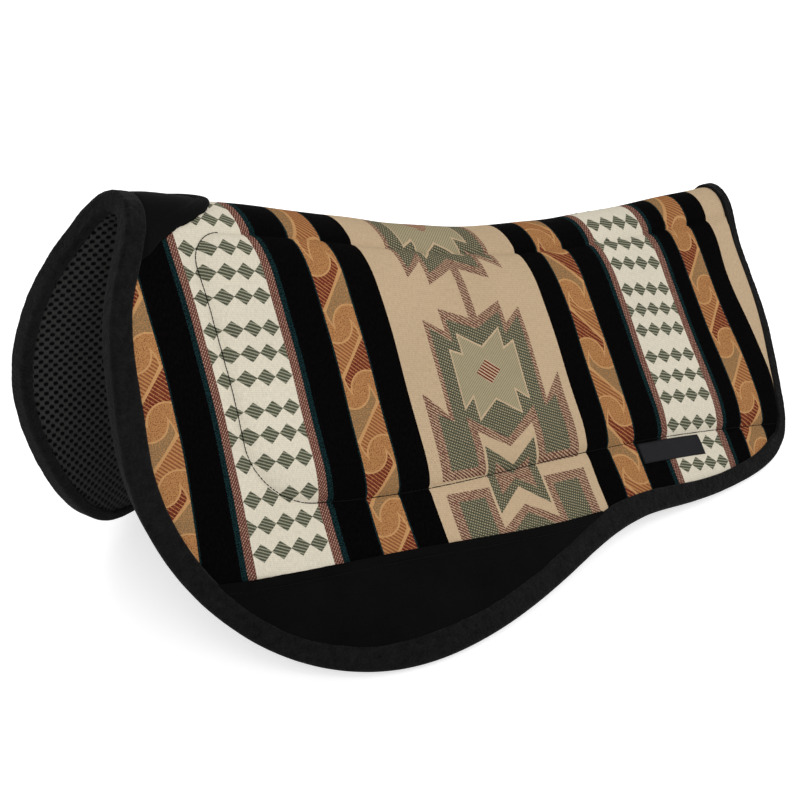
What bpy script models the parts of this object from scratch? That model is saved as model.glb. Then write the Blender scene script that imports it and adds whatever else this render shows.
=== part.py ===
"""Western saddle pad with a round skirt, standing on its four lobes like a low arch.

X runs along the spine, with the withers end at -X. Y runs across and Z is up.
A place on the pad is given by x, along the spine, and by its drop, the distance down
the flap from the spine: below zero on the near flap at -Y, above zero on the off flap.
Every layer is cut on that one pattern and laid over the shape of a horse's back.
"""

import math

import bmesh
import bpy
import numpy as np

# Shape of the back under the pad.
SPINE_LENGTH = 0.740
SPINE_HEIGHTS = (0.422, 0.356, 0.289, 0.253, 0.235)  # at even places, withers to tail
SLOPE_DROPS = (0.000, 0.030, 0.070, 0.140, 0.240, 0.440)
WITHERS_DEGREES = (0, 52, 67, 68, 78, 82)  # from level, at those drops
MIDDLE_DEGREES = (0, 38, 55, 63, 59, 35)
TAIL_DEGREES = (0, 66, 69, 49, 59, 76)
FLAT_DEPTH = 0.0005  # cut off the lobes where they stand

# Outline of the pad.
FRONT_DROP = 0.440
REAR_DROP = 0.3125
FRONT_FLARE = 0.0585  # reach of the front edge ahead of the spine
REAR_TAPER = 0.045  # set-back of the rear corner

# Layers, from the outside in.
COVER_THICKNESS = 0.0015
CORE_THICKNESS = 0.008
LINING_THICKNESS = 0.0025
CLEARANCE = 0.0003
PANEL_CROWN = 0.011
PANEL_ROLL = 0.038
BORDER_CROWN = 0.002
BORDER_ROLL = 0.022
INSERT_MARGIN = 0.008

# Quilting seams round the padded panels.
CHANNEL_WIDTH = 0.075
FRONT_SEAM_SETBACK = 0.0545
BOTTOM_SEAM_DROPS = (0.283, 0.276, 0.2465, 0.2445, 0.272)
SEAM_RADIUS = 0.035
THREAD_DIAMETER = 0.0010
ROLL_FULLNESS = 0.7  # power of the padded forms' section, rounder below 1

# Binding tape folded over the edge.
BINDING_WIDTH = 0.0245
BINDING_UNDER_WIDTH = 0.016
BINDING_THICKNESS = 0.0022
BINDING_CLEARANCE = 0.0005
BINDING_ROUNDING = 0.7  # of its thickness, taken off its outer corners

# Leathers and label.
LEATHER_THICKNESS = 0.0016
LEATHER_TOP_DROPS = (0.356, 0.328, 0.3065)  # withers end to mid length
LEATHER_TIP = 0.010  # height of the wear leather at its rear end
LEATHER_REACH = 0.405  # from the withers end of the spine to that end
LEATHER_STITCH_INSET = 0.008
PATCH_REACH = 0.0965  # from the withers end of the spine back to the patch's tip
PATCH_HALF_WIDTH = 0.070
PATCH_SWEEP = 0.101  # from its tip forward to the ends of its sides
OVERLAY_LIFT = 0.0008
LABEL_WIDTH = 0.084
LABEL_HEIGHT = 0.0215
LABEL_THICKNESS = 0.0008
LABEL_PLACE = 0.4905  # from the withers end of the spine
LABEL_SEAM_GAP = 0.0025

FRONT_END = -SPINE_LENGTH / 2
REAR_END = SPINE_LENGTH / 2
STACK_THICKNESS = COVER_THICKNESS + CORE_THICKNESS + LINING_THICKNESS + 2 * CLEARANCE
STACK_INSET = BINDING_THICKNESS + BINDING_CLEARANCE
RING_INSET = BINDING_WIDTH + BINDING_CLEARANCE
THREAD_LIFT = THREAD_DIAMETER / 2 + 2 * CLEARANCE

# Shares that give the outline its shape: of the flare or taper, and of the drop.
FRONT_EDGE_SHARES = (
    (-0.15, 0.0), (0.14, 0.114), (0.63, 0.25), (0.92, 0.409),
    (0.98, 0.568), (0.70, 0.716), (-0.02, 0.875),
)
REAR_EDGE_SHARES = (
    (1.0, 0.893), (0.64, 0.778), (0.41, 0.66), (0.11, 0.533),
    (-0.12, 0.385), (-0.12, 0.25), (0.0, 0.12), (0.0, 0.0),
)
# Share of the way from the front corner to the rear one, and from the rear drop to the front one.
HEM_SHARES = (
    (0.076, 0.89), (0.176, 1.0), (0.286, 0.88), (0.402, 0.62), (0.504, 0.35),
    (0.599, 0.12), (0.694, 0.005), (0.789, 0.0), (0.883, -0.035), (0.957, -0.114),
)
# Shares of the patch's half width, and of its sweep, along its rear edge.
PATCH_SHARES = (
    (0.0, 0.0), (0.20, 0.084), (0.35, 0.233), (0.48, 0.44),
    (0.64, 0.663), (0.78, 0.79), (1.0, 1.0),
)

# Where the pattern's rows turn into its columns: behind the front corner, ahead of the rear
# one and down the hem, and how far the lines there lie apart.
FRONT_TURN = 0.030
REAR_TURN = 0.050
HEM_TURN = 0.024
CORNER_STEP = 0.011

# First steps of the pattern's lines in from the panels' seams.
PANEL_ROLL_STEPS = (INSERT_MARGIN, 0.022)
REAR_ROLL_STEP = 0.014

# Cells of the pattern between one line and the next.
CHANNEL_CELLS = 3
PANEL_MIDDLE_CELLS = 3
APRON_CELLS = 2
LEATHER_CELLS = 2
FRONT_CELLS = 2
LEATHER_LENGTH_CELLS = 7
REAR_LENGTH_CELLS = 5
LENGTH_CROWDING = 1.2  # power that brings the lines closer towards the withers
PATCH_CELLS = 7
PATCH_LEAST_SHARE = 0.12  # of a column, left at the ends of the patch's sides
LABEL_CELLS = 5, 3

# Samples along the curves.
OUTLINE_SAMPLES = 600
OUTLINE_OVERLAP = 3  # points past the spine that make the outline cross it square
SLOPE_SAMPLES = 49
LEVELLING_TURNS = 4

LAST_PLACE = OUTLINE_SAMPLES - 1
SEAM_COLUMN = 1 + FRONT_CELLS
LEATHER_COLUMN = SEAM_COLUMN + len(PANEL_ROLL_STEPS) + LEATHER_LENGTH_CELLS
TOP_ROW = CHANNEL_CELLS
BOTTOM_ROW = TOP_ROW + 2 * len(PANEL_ROLL_STEPS) + PANEL_MIDDLE_CELLS
LEATHER_ROW = BOTTOM_ROW + APRON_CELLS
RING_ROW = LEATHER_ROW + LEATHER_CELLS
PATCH_ROW = TOP_ROW + len(PANEL_ROLL_STEPS)


def natural_spline(knots, values):
    """A smooth function through the values, straight past both ends."""
    t = np.asarray(knots, float)
    v = np.asarray(values, float)
    n = len(t)
    h = np.diff(t)
    matrix = np.eye(n)
    right = np.zeros(n)
    for k in range(1, n - 1):
        matrix[k, k - 1 : k + 2] = h[k - 1], 2 * (h[k - 1] + h[k]), h[k]
        right[k] = 6 * ((v[k + 1] - v[k]) / h[k] - (v[k] - v[k - 1]) / h[k - 1])
    bend = np.linalg.solve(matrix, right)
    first = (v[1] - v[0]) / h[0] - h[0] * bend[1] / 6
    last = (v[-1] - v[-2]) / h[-1] + h[-1] * bend[-2] / 6

    def value(at):
        at = np.asarray(at, float)
        k = np.clip(np.searchsorted(t, at) - 1, 0, n - 2)
        inside = np.clip(at, t[0], t[-1])
        a = (t[k + 1] - inside) / h[k]
        b = 1 - a
        curve = a * v[k] + b * v[k + 1]
        curve = curve + ((a**3 - a) * bend[k] + (b**3 - b) * bend[k + 1]) * h[k] ** 2 / 6
        return curve + np.minimum(at - t[0], 0) * first + np.maximum(at - t[-1], 0) * last

    return value


def along_spine(values):
    return natural_spline(np.linspace(FRONT_END, REAR_END, len(values)), values)


spine_height = along_spine(SPINE_HEIGHTS)
bottom_seam = along_spine(BOTTOM_SEAM_DROPS)
leather_top = natural_spline(np.linspace(FRONT_END, 0, len(LEATHER_TOP_DROPS)), LEATHER_TOP_DROPS)
SLOPES = [
    natural_spline(SLOPE_DROPS, np.radians(slopes))
    for slopes in (WITHERS_DEGREES, MIDDLE_DEGREES, TAIL_DEGREES)
]


def back_point(x, drop):
    """The point of the outer surface at each x and drop, before the pad is stood level."""
    x, drop = np.broadcast_arrays(np.asarray(x, float), np.asarray(drop, float))
    down = np.abs(drop)[..., None] * np.linspace(0, 1, SLOPE_SAMPLES)
    place = (x / REAR_END)[..., None]
    withers, middle, tail = (slope(down) for slope in SLOPES)
    slope = withers * place * (place - 1) / 2 + middle * (1 - place**2) + tail * place * (place + 1) / 2
    width = np.abs(drop) / (SLOPE_SAMPLES - 1)
    out = (np.cos(slope)[..., 1:] + np.cos(slope)[..., :-1]).sum(-1) / 2 * width
    fall = (np.sin(slope)[..., 1:] + np.sin(slope)[..., :-1]).sum(-1) / 2 * width
    return np.stack([x, np.sign(drop) * out, spine_height(x) - fall], -1)


def back_normal(x, drop):
    """The outward direction of that surface."""
    ahead = back_point(x + CLEARANCE, drop) - back_point(x - CLEARANCE, drop)
    across = back_point(x, drop + CLEARANCE) - back_point(x, drop - CLEARANCE)
    normal = np.cross(ahead, across)
    return normal / np.linalg.norm(normal, axis=-1, keepdims=True)


def outline():
    """Samples of the edge of one flap, from the spine at the withers round to the tail, and its corners."""
    front = [(FRONT_END - FRONT_FLARE * flare, FRONT_DROP * drop) for flare, drop in FRONT_EDGE_SHARES]
    rear = [(REAR_END - REAR_TAPER * taper, REAR_DROP * drop) for taper, drop in REAR_EDGE_SHARES]
    first, last = front[-1][0], rear[0][0]
    hem = [
        (first + along * (last - first), REAR_DROP + down * (FRONT_DROP - REAR_DROP))
        for along, down in HEM_SHARES
    ]
    points = front + hem + rear
    mirrored = [(x, -drop) for x, drop in points]
    before = mirrored[OUTLINE_OVERLAP:0:-1]
    after = mirrored[-2 : -2 - OUTLINE_OVERLAP : -1]
    loop = np.array(before + points + after)
    way = np.concatenate([[0], np.cumsum(np.hypot(*np.diff(loop, axis=0).T))])
    way -= way[OUTLINE_OVERLAP]
    end = way[-1 - OUTLINE_OVERLAP]
    samples = np.linspace(0, end, OUTLINE_SAMPLES)
    edge = np.stack([natural_spline(way, loop[:, axis])(samples) for axis in (0, 1)], -1)
    corners = OUTLINE_OVERLAP + np.array([len(front) - 1, len(front) + len(hem)])
    return edge, way[corners] / end * LAST_PLACE


def inward(edge):
    """The direction into the pad, square to its edge, at each sample."""
    tangent = np.gradient(edge, axis=0)
    tangent[[0, -1], 0] = 0  # the outline crosses the spine square
    tangent /= np.linalg.norm(tangent, axis=1, keepdims=True)
    return np.stack([tangent[:, 1], -tangent[:, 0]], -1)


# A place on the edge is told by the number of its sample, which may be a fraction.
EDGE, CORNERS = outline()
EDGE_INWARD = inward(EDGE)
EDGE_STEP = float(np.hypot(*np.diff(EDGE, axis=0).T).mean())
FRONT_CORNER = CORNERS[0] + FRONT_TURN / EDGE_STEP
REAR_CORNER = CORNERS[1] - REAR_TURN / EDGE_STEP

SEAM_X = FRONT_END + FRONT_SEAM_SETBACK
TOP_SEAM = CHANNEL_WIDTH / 2
CORNER_IN = SEAM_RADIUS * (1 - math.sqrt(0.5))
CORNER_X = SEAM_X + CORNER_IN


def edge_at(place, inset):
    """The pattern point this far inside the edge."""
    line = EDGE + EDGE_INWARD * inset
    return np.stack([np.interp(place, np.arange(OUTLINE_SAMPLES), line[:, axis]) for axis in (0, 1)], -1)


def ring_at(place):
    """The pattern point on the ring, the line just inside the binding."""
    return edge_at(place, RING_INSET)


def ring_place(axis, value, first, last):
    """The place between two others where the ring has this x or drop."""
    places = np.linspace(first, last, OUTLINE_SAMPLES)
    found = ring_at(places)[:, axis]
    order = np.argsort(found)
    return np.interp(value, found[order], places[order])


def ring_crossing(line, first, last):
    """The place between two others where the ring crosses a line, given as its drop at each x."""
    places = np.linspace(first, last, OUTLINE_SAMPLES)
    x, drop = ring_at(places).T
    return places[np.abs(drop - line(x)).argmin()]


def seam_round(distance):
    """How far a seam draws in at this distance from its corner."""
    left = np.clip(SEAM_RADIUS - distance, 0, SEAM_RADIUS)
    return SEAM_RADIUS - np.sqrt(SEAM_RADIUS**2 - left**2)


def spine_line(x):
    return np.zeros_like(x)


def top_seam_line(x):
    return TOP_SEAM + seam_round(x - SEAM_X)


def bottom_seam_line(x):
    return bottom_seam(x) - seam_round(x - SEAM_X)


def leather_line(x):
    """The drop of the wear leather's top and, behind the leather, of the middle of the apron."""
    low = ring_at(ring_place(0, x, FRONT_CORNER, REAR_CORNER))[..., 1]
    top = np.minimum(leather_top(x), low - LEATHER_TIP)
    return np.maximum(top, (bottom_seam(x) + low) / 2)


def even(count):
    """Shares from 0 to 1 that bound this many even cells."""
    return np.linspace(0, 1, count + 1)


def shares_across():
    """Shares across each band of the pattern, from one line to the next."""
    rolls = np.array(PANEL_ROLL_STEPS) / (bottom_seam(0.0) - TOP_SEAM)
    middle = rolls[-1] + even(PANEL_MIDDLE_CELLS) * (1 - 2 * rolls[-1])
    panel = np.concatenate([[0], rolls[:-1], middle, 1 - rolls[-2::-1], [1]])
    return even(CHANNEL_CELLS), panel, even(APRON_CELLS), even(LEATHER_CELLS)


def shares_along(leather_end):
    """Shares of the way from the front seam to the rear binding, with one where the leather ends."""
    length = ring_at(LAST_PLACE)[0] - CORNER_X
    rolls = np.array(PANEL_ROLL_STEPS) / length
    last = 1 - REAR_ROLL_STEP / length
    leather = rolls[-1] + (leather_end - rolls[-1]) * even(LEATHER_LENGTH_CELLS) ** LENGTH_CROWDING
    behind = leather_end + (last - leather_end) * even(REAR_LENGTH_CELLS)
    return np.concatenate([[0], rolls[:-1], leather, behind[1:], [1]])


def hem_places(along):
    """Places on the hem for each column, with the first ones round the front corner."""
    turn = ring_place(0, CORNER_X + HEM_TURN, FRONT_CORNER, REAR_CORNER)
    start = ring_at(turn)[0]
    end = ring_at(REAR_CORNER)[0]
    behind = ring_place(0, start + along[1:-1] * (end - start), FRONT_CORNER, REAR_CORNER)
    ahead = FRONT_CORNER + even(FRONT_CELLS) * (turn - FRONT_CORNER)
    return np.concatenate([ahead, behind, [REAR_CORNER]])


def coons(left, right, lower, upper, across, along):
    """The nodes inside four sides, at shares across (lower to upper) and along (left to right)."""
    a = np.asarray(along)[:, None, None]
    c = np.asarray(across)[None, :, None]
    ruled = (1 - c) * lower[:, None] + c * upper[:, None] + (1 - a) * left[None] + a * right[None]
    corners = (1 - a) * ((1 - c) * left[0] + c * left[-1]) + a * ((1 - c) * right[0] + c * right[-1])
    return ruled - corners


def framed(inside, ahead, behind, hem):
    """The pattern with the nodes under the binding set round it, and their places in order."""
    columns, rows = inside.shape[:2]
    corner = np.array([-1, 0, 1]) * CORNER_STEP / EDGE_STEP
    stations = [ahead[:-1], FRONT_CORNER + corner, hem[1:-1], REAR_CORNER + corner, behind[-2::-1]]
    stations = np.concatenate(stations)
    rim = edge_at(stations, STACK_INSET)
    grid = np.zeros((columns + 2, rows + 1, 2))
    grid[1:-1, :-1] = inside
    grid[0, :-1] = rim[:rows]
    grid[:, -1] = rim[rows : rows + columns + 2]
    grid[-1, :-1] = rim[: -rows - 1 : -1]
    return grid, stations


def pattern():
    """Places on the pattern, as x and drop, for each column and each row from the spine out.

    The lines that the seams, the leather and the binding follow are rows or columns of it.
    """
    corner_drops = 0.0, TOP_SEAM + CORNER_IN, bottom_seam(SEAM_X)
    ahead = [ring_place(1, drop, 0, FRONT_CORNER) for drop in corner_drops]
    ahead += [ring_crossing(leather_top, 0, FRONT_CORNER), FRONT_CORNER]
    seam_end = ring_crossing(bottom_seam, REAR_CORNER, LAST_PLACE)
    behind = [LAST_PLACE, ring_place(1, TOP_SEAM, REAR_CORNER, LAST_PLACE), seam_end]
    behind += [(seam_end + REAR_CORNER) / 2, REAR_CORNER]
    ends = ring_at(behind)

    leather_start = CORNER_X + HEM_TURN / 2
    leather_end = (FRONT_END + LEATHER_REACH - leather_start) / (ends[3, 0] - leather_start)
    along = shares_along(leather_end)
    front = even(FRONT_CELLS)
    hem = hem_places(along)
    starts = CORNER_X, CORNER_X, CORNER_X, leather_start
    main_lines, front_lines = [], []
    for k, line in enumerate((spine_line, top_seam_line, bottom_seam_line, leather_line)):
        x = starts[k] + along * (ends[k, 0] - starts[k])
        nodes = np.stack([x, line(x)], -1)
        nodes[-1] = ends[k]
        main_lines.append(nodes)
        front_lines.append(ring_at(ahead[k]) + front[:, None] * (nodes[0] - ring_at(ahead[k])))
    main_lines.append(ring_at(hem[FRONT_CELLS:]))
    front_lines.append(ring_at(hem[: FRONT_CELLS + 1]))

    bands, places_ahead, places_behind = [], [ahead[:1]], [behind[:1]]
    for k, across in enumerate(shares_across()):
        at_front = ahead[k] + across * (ahead[k + 1] - ahead[k])
        at_rear = behind[k] + across * (behind[k + 1] - behind[k])
        seam = main_lines[k][0] + across[:, None] * (main_lines[k + 1][0] - main_lines[k][0])
        if k == 1:
            to_corner = np.minimum(seam[:, 1] - TOP_SEAM, bottom_seam(SEAM_X) - seam[:, 1])
            seam[:, 0] = SEAM_X + seam_round(to_corner)
        fore = coons(ring_at(at_front), seam, front_lines[k], front_lines[k + 1], across, front)
        aft = coons(seam, ring_at(at_rear), main_lines[k], main_lines[k + 1], across, along)
        band = np.concatenate([fore, aft[1:]])
        bands.append(band if k == 0 else band[:, 1:])
        places_ahead.append(at_front[1:])
        places_behind.append(at_rear[1:])
    inside = np.concatenate(bands, axis=1)
    return framed(inside, np.concatenate(places_ahead), np.concatenate(places_behind), hem)


PATTERN, STATIONS = pattern()
COLUMNS, ROWS = PATTERN.shape[0] - 1, PATTERN.shape[1] - 1


def rise(distance, crown, roll):
    """Height of a padded form this far in from the line that draws it down."""
    share = np.clip(distance / roll, 0, 1)
    return crown * (1 - (1 - share) ** 2) ** ROLL_FULLNESS


def puff(x, drop):
    """How far the padding lifts the cover off the seams' level."""
    drop = np.abs(drop)
    ahead = x - SEAM_X
    below = drop - TOP_SEAM
    above = bottom_seam(x) - drop
    least = np.minimum(below, above)
    corner = SEAM_RADIUS - np.hypot(
        np.clip(SEAM_RADIUS - ahead, 0, None), np.clip(SEAM_RADIUS - least, 0, None)
    )
    in_corner = (ahead < SEAM_RADIUS) & (least < SEAM_RADIUS)
    inside = np.where(in_corner, corner, np.minimum(ahead, least))
    to_edge = edge_distance(x, drop) - RING_INSET
    panel = rise(np.minimum(inside, to_edge + INSERT_MARGIN), PANEL_CROWN, PANEL_ROLL)
    border = rise(np.minimum(-inside, to_edge), BORDER_CROWN, BORDER_ROLL)
    return np.where(inside > 0, panel, border)


def edge_distance(x, drop):
    """Distance on the pattern from each place to the outline."""
    places = np.stack([x, drop], -1)[..., None, :]
    return np.linalg.norm(places - EDGE, axis=-1).min(-1)


def raw_place(x, drop, lift):
    return back_point(x, drop) + back_normal(x, drop) * np.asarray(lift)[..., None]


def binding_section():
    """The tape in section: inset from the outline, and height over the seams' level."""
    gap = BINDING_CLEARANCE
    over = gap + BINDING_THICKNESS
    under = -STACK_THICKNESS - over
    chamfer = BINDING_THICKNESS * BINDING_ROUNDING
    return (
        (BINDING_WIDTH, over),
        (chamfer, over),
        (0.0, over - chamfer),
        (0.0, under + chamfer),
        (chamfer, under),
        (BINDING_UNDER_WIDTH, under),
        (BINDING_UNDER_WIDTH, -STACK_THICKNESS - gap),
        (BINDING_THICKNESS, -STACK_THICKNESS - gap),
        (BINDING_THICKNESS, gap),
        (BINDING_WIDTH, gap),
    )


def binding_places():
    """The x, drop and height of each corner of the tape's section, at each station round the edge."""
    places = []
    for inset, height in binding_section():
        half = edge_at(STATIONS, inset)
        loop = np.concatenate([half, half[-2:0:-1] * (1, -1)])
        places.append(np.column_stack([loop, np.full(len(loop), height)]))
    return np.stack(places, 1)


BINDING = binding_places()


def stand():
    """The pitch, rise and shift that set the four lobes level on the floor, with X centred."""
    points = raw_place(BINDING[..., 0], BINDING[..., 1], BINDING[..., 2]).reshape(-1, 3)
    pitch = 0.0
    for _ in range(LEVELLING_TURNS):
        height = points[:, 2] * math.cos(pitch) - points[:, 0] * math.sin(pitch)
        ahead = np.where(points[:, 0] < 0, height, np.inf).argmin()
        behind = np.where(points[:, 0] > 0, height, np.inf).argmin()
        pitch += math.atan2(height[behind] - height[ahead], points[behind, 0] - points[ahead, 0])
    x = points[:, 0] * math.cos(pitch) + points[:, 2] * math.sin(pitch)
    height = points[:, 2] * math.cos(pitch) - points[:, 0] * math.sin(pitch)
    return pitch, -FLAT_DEPTH - height.min(), -(x.min() + x.max()) / 2


PITCH, RAISE, SHIFT = stand()


def stood(points):
    """The points turned and moved so that the pad stands level."""
    x = points[..., 0] * math.cos(PITCH) + points[..., 2] * math.sin(PITCH)
    z = points[..., 2] * math.cos(PITCH) - points[..., 0] * math.sin(PITCH)
    return np.stack([x + SHIFT, points[..., 1], z + RAISE], -1)


def laid(x, drop, lift):
    """World points at a height over the seams' level."""
    return stood(raw_place(x, drop, lift))


def whole_pattern():
    """The pattern of both flaps, from the near hem over the spine to the off hem."""
    near = PATTERN[:, :0:-1] * (1, -1)
    return np.concatenate([near, PATTERN], axis=1)


def cells(grid, columns, rows):
    """The part of a whole grid from the first to the last of these columns and signed rows."""
    first, last = rows
    return grid[columns[0] : columns[1] + 1, first + ROWS : last + ROWS + 1]


def near_and_off(first, last):
    """The two runs of rows, near and off, that lie between these distances from the spine."""
    return ("near", (-last, -first)), ("off", (first, last))


def outer_diagonals(points):
    """Whether each cell's first diagonal lies outside its other one, so that layers nest."""
    first = points[:-1, :-1] + points[1:, 1:]
    second = points[:-1, 1:] + points[1:, :-1]
    out = np.cross(points[1:, 1:] - points[:-1, :-1], points[:-1, 1:] - points[1:, :-1])
    return ((first - second) * out).sum(-1) > 0


def grid_normals(points):
    """The outward direction at each point of a grid, from the cells round it."""
    normal = np.cross(np.gradient(points, axis=0), np.gradient(points, axis=1))
    return normal / np.linalg.norm(normal, axis=-1, keepdims=True)


def padding():
    """The cover's lift at each node of the whole pattern, with the binding holding its rim down."""
    lift = puff(WHOLE[..., 0], WHOLE[..., 1])
    lift[:2] = lift[-2:] = 0
    lift[:, :2] = lift[:, -2:] = 0
    return lift


WHOLE = whole_pattern()
LEVEL = laid(WHOLE[..., 0], WHOLE[..., 1], np.zeros(WHOLE.shape[:2]))
FOLDS = outer_diagonals(LEVEL)
COVER = laid(WHOLE[..., 0], WHOLE[..., 1], padding())
COVER_OUT = grid_normals(COVER)
ALL_COLUMNS = 0, COLUMNS
ALL_ROWS = -ROWS, ROWS


def folds(columns, rows):
    return cells(FOLDS, (columns[0], columns[1] - 1), (rows[0], rows[1] - 1))


def on_cover(columns, rows, lift):
    """The nodes of the cover in these columns and rows, raised or sunk."""
    return cells(COVER, columns, rows) + cells(COVER_OUT, columns, rows) * lift


def under_seams(columns, rows, depth):
    """The nodes of these columns and rows at a depth under the seams' level."""
    places = cells(WHOLE, columns, rows)
    return laid(places[..., 0], places[..., 1], np.full(places.shape[:2], -depth))


def between_nodes(column, row, lift):
    """Points over the cover at columns and signed rows that may be fractions."""
    column, row = np.broadcast_arrays(column, row + ROWS)
    i = np.minimum(column.astype(int), COLUMNS - 1)
    j = np.minimum(row.astype(int), 2 * ROWS - 1)
    a, b = (column - i)[..., None], (row - j)[..., None]
    raised = COVER + COVER_OUT * lift
    ahead = (1 - b) * raised[i, j] + b * raised[i, j + 1]
    behind = (1 - b) * raised[i + 1, j] + b * raised[i + 1, j + 1]
    return (1 - a) * ahead + a * behind


def clear_scene():
    for obj in list(bpy.data.objects):
        bpy.data.objects.remove(obj, do_unlink=True)


def collection(name):
    made = bpy.data.collections.new(name)
    bpy.context.scene.collection.children.link(made)
    return made


def finish(name, colour, roughness):
    """A plain material for one sub-part."""
    material = bpy.data.materials.new(name)
    material.use_nodes = True
    shader = material.node_tree.nodes["Principled BSDF"]
    shader.inputs["Base Color"].default_value = (*colour, 1)
    shader.inputs["Roughness"].default_value = roughness
    shader.inputs["Metallic"].default_value = 0
    material.diffuse_color = (*colour, 1)
    return material


def sheet(name, points, diagonals, material, home):
    """An open sheet on a grid of points, with each cell folded along one diagonal."""
    columns, rows = points.shape[:2]
    bm = bmesh.new()
    bmesh.ops.create_grid(bm, x_segments=rows - 1, y_segments=columns - 1, size=1)
    for vert, point in zip(bm.verts, points.reshape(-1, 3)):
        vert.co = point
    for face, first in zip(list(bm.faces), diagonals.ravel()):
        corners = face.verts[:]
        pair = corners[0::2] if first else corners[1::2]
        bmesh.utils.face_split(face, *pair)
    bmesh.ops.reverse_faces(bm, faces=bm.faces)  # outwards, as a column runs across the pad
    mesh = bpy.data.meshes.new(name)
    bm.to_mesh(mesh)
    bm.free()
    mesh.shade_smooth()
    mesh.materials.append(material)
    obj = bpy.data.objects.new(name, mesh)
    home.objects.link(obj)
    return obj


def stack(name, upper, lower, diagonals, material, home):
    """A closed solid between two faces on like grids."""
    obj = sheet(name, upper, diagonals, material, home)
    bm = bmesh.new()
    bm.from_mesh(obj.data)
    number = bm.verts.layers.int.new("number")
    for vert in bm.verts:
        vert[number] = vert.index
    made = bmesh.ops.extrude_face_region(bm, geom=bm.faces[:], use_keep_orig=True)
    under = lower.reshape(-1, 3)
    for vert in made["geom"]:
        if isinstance(vert, bmesh.types.BMVert):
            vert.co = under[vert[number]]
    bmesh.ops.recalc_face_normals(bm, faces=bm.faces)
    for wall in [face for face in bm.faces if len(face.verts) == 4]:
        a, b, c, d = wall.verts
        inner = (a.co + c.co - b.co - d.co).dot(wall.normal) < 0
        bmesh.utils.face_split(wall, *((a, c) if inner else (b, d)))
    bm.to_mesh(obj.data)
    bm.free()
    return obj


def thicken(obj, thickness):
    """Gives a sheet its thickness, inwards from its outer face."""
    solid = obj.modifiers.new("thickness", "SOLIDIFY")
    solid.thickness = thickness
    solid.offset = -1
    return obj


def full_layer(name, depth, thickness, material, home):
    """A layer of the whole outline, this far under the seams' level."""
    upper = under_seams(ALL_COLUMNS, ALL_ROWS, depth)
    lower = under_seams(ALL_COLUMNS, ALL_ROWS, depth + thickness)
    return stack(name, upper, lower, FOLDS, material, home)


def make_cover(home):
    woven = finish("woven_tapestry", (0.62, 0.50, 0.36), 0.9)
    return thicken(sheet("top_cover", COVER, FOLDS, woven, home), COVER_THICKNESS)


def make_core(home):
    felt = finish("felt", (0.20, 0.20, 0.19), 0.95)
    return full_layer("felt_core", COVER_THICKNESS + CLEARANCE, CORE_THICKNESS, felt, home)


def make_lining(home):
    grip = finish("grip_mesh", (0.045, 0.045, 0.045), 0.8)
    depth = COVER_THICKNESS + CORE_THICKNESS + 2 * CLEARANCE
    return full_layer("grip_lining", depth, LINING_THICKNESS, grip, home)


def make_inserts(home):
    """The foam that fills each padded panel between the cover and the core."""
    foam = finish("foam", (0.75, 0.72, 0.60), 0.9)
    columns = SEAM_COLUMN + 1, COLUMNS - 2
    for side, rows in near_and_off(TOP_ROW + 1, BOTTOM_ROW - 1):
        top = on_cover(columns, rows, -COVER_THICKNESS - CLEARANCE)
        low = under_seams(columns, rows, COVER_THICKNESS)
        stack(f"foam_insert_{side}", top, low, folds(columns, rows), foam, home)


def make_binding(home):
    """The tape folded over the whole edge, in one loop."""
    tape = finish("fleece_tape", (0.028, 0.028, 0.028), 0.95)
    points = laid(BINDING[..., 0], BINDING[..., 1], BINDING[..., 2])
    points = np.pad(points, ((0, 1), (0, 1), (0, 0)), mode="wrap")  # closed both ways
    obj = sheet("edge_binding", points, ~outer_diagonals(points), tape, home)
    bm = bmesh.new()
    bm.from_mesh(obj.data)
    bmesh.ops.remove_doubles(bm, verts=bm.verts, dist=CLEARANCE / 10)
    bmesh.ops.recalc_face_normals(bm, faces=bm.faces)
    bm.to_mesh(obj.data)
    bm.free()
    return obj


def cut_lobes_flat(binding, cutters):
    """Takes the underside of the lobes off at the floor, so that the pad stands on flats."""
    size = 2 * SPINE_LENGTH
    mesh = bpy.data.meshes.new("floor_block")
    bm = bmesh.new()
    bmesh.ops.create_cube(bm, size=size)
    bmesh.ops.translate(bm, verts=bm.verts, vec=(0, 0, -size / 2))
    bm.to_mesh(mesh)
    bm.free()
    floor = bpy.data.objects.new("floor_block", mesh)
    floor.hide_render = True
    floor.display_type = "WIRE"
    cutters.objects.link(floor)
    cut = binding.modifiers.new("flat_lobes", "BOOLEAN")
    cut.operation = "DIFFERENCE"
    cut.object = floor


def make_wear_leathers(home):
    """The suede on the front lobes, where the stirrup leathers and cinch rub."""
    suede = finish("suede", (0.012, 0.012, 0.012), 0.9)
    columns = 1, LEATHER_COLUMN
    for side, rows in near_and_off(LEATHER_ROW, RING_ROW):
        points = on_cover(columns, rows, CLEARANCE + LEATHER_THICKNESS)
        leather = sheet(f"wear_leather_{side}", points, folds(columns, rows), suede, home)
        thicken(leather, LEATHER_THICKNESS)


def patch_ends():
    """The fraction of a column where the patch's rear edge crosses each row."""
    drops, backs = np.array(PATCH_SHARES).T
    share = natural_spline(np.concatenate([-drops[:0:-1], drops]), np.concatenate([backs[:0:-1], backs]))
    ends = []
    for row in range(PATCH_ROW + 1):
        x, drop = PATTERN[1:, row].T
        past = x - FRONT_END - PATCH_REACH + PATCH_SWEEP * share(drop / PATCH_HALF_WIDTH)
        ends.append(np.interp(0, past, np.arange(1, COLUMNS + 1)))
    return np.maximum(ends, 1 + PATCH_LEAST_SHARE)


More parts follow.
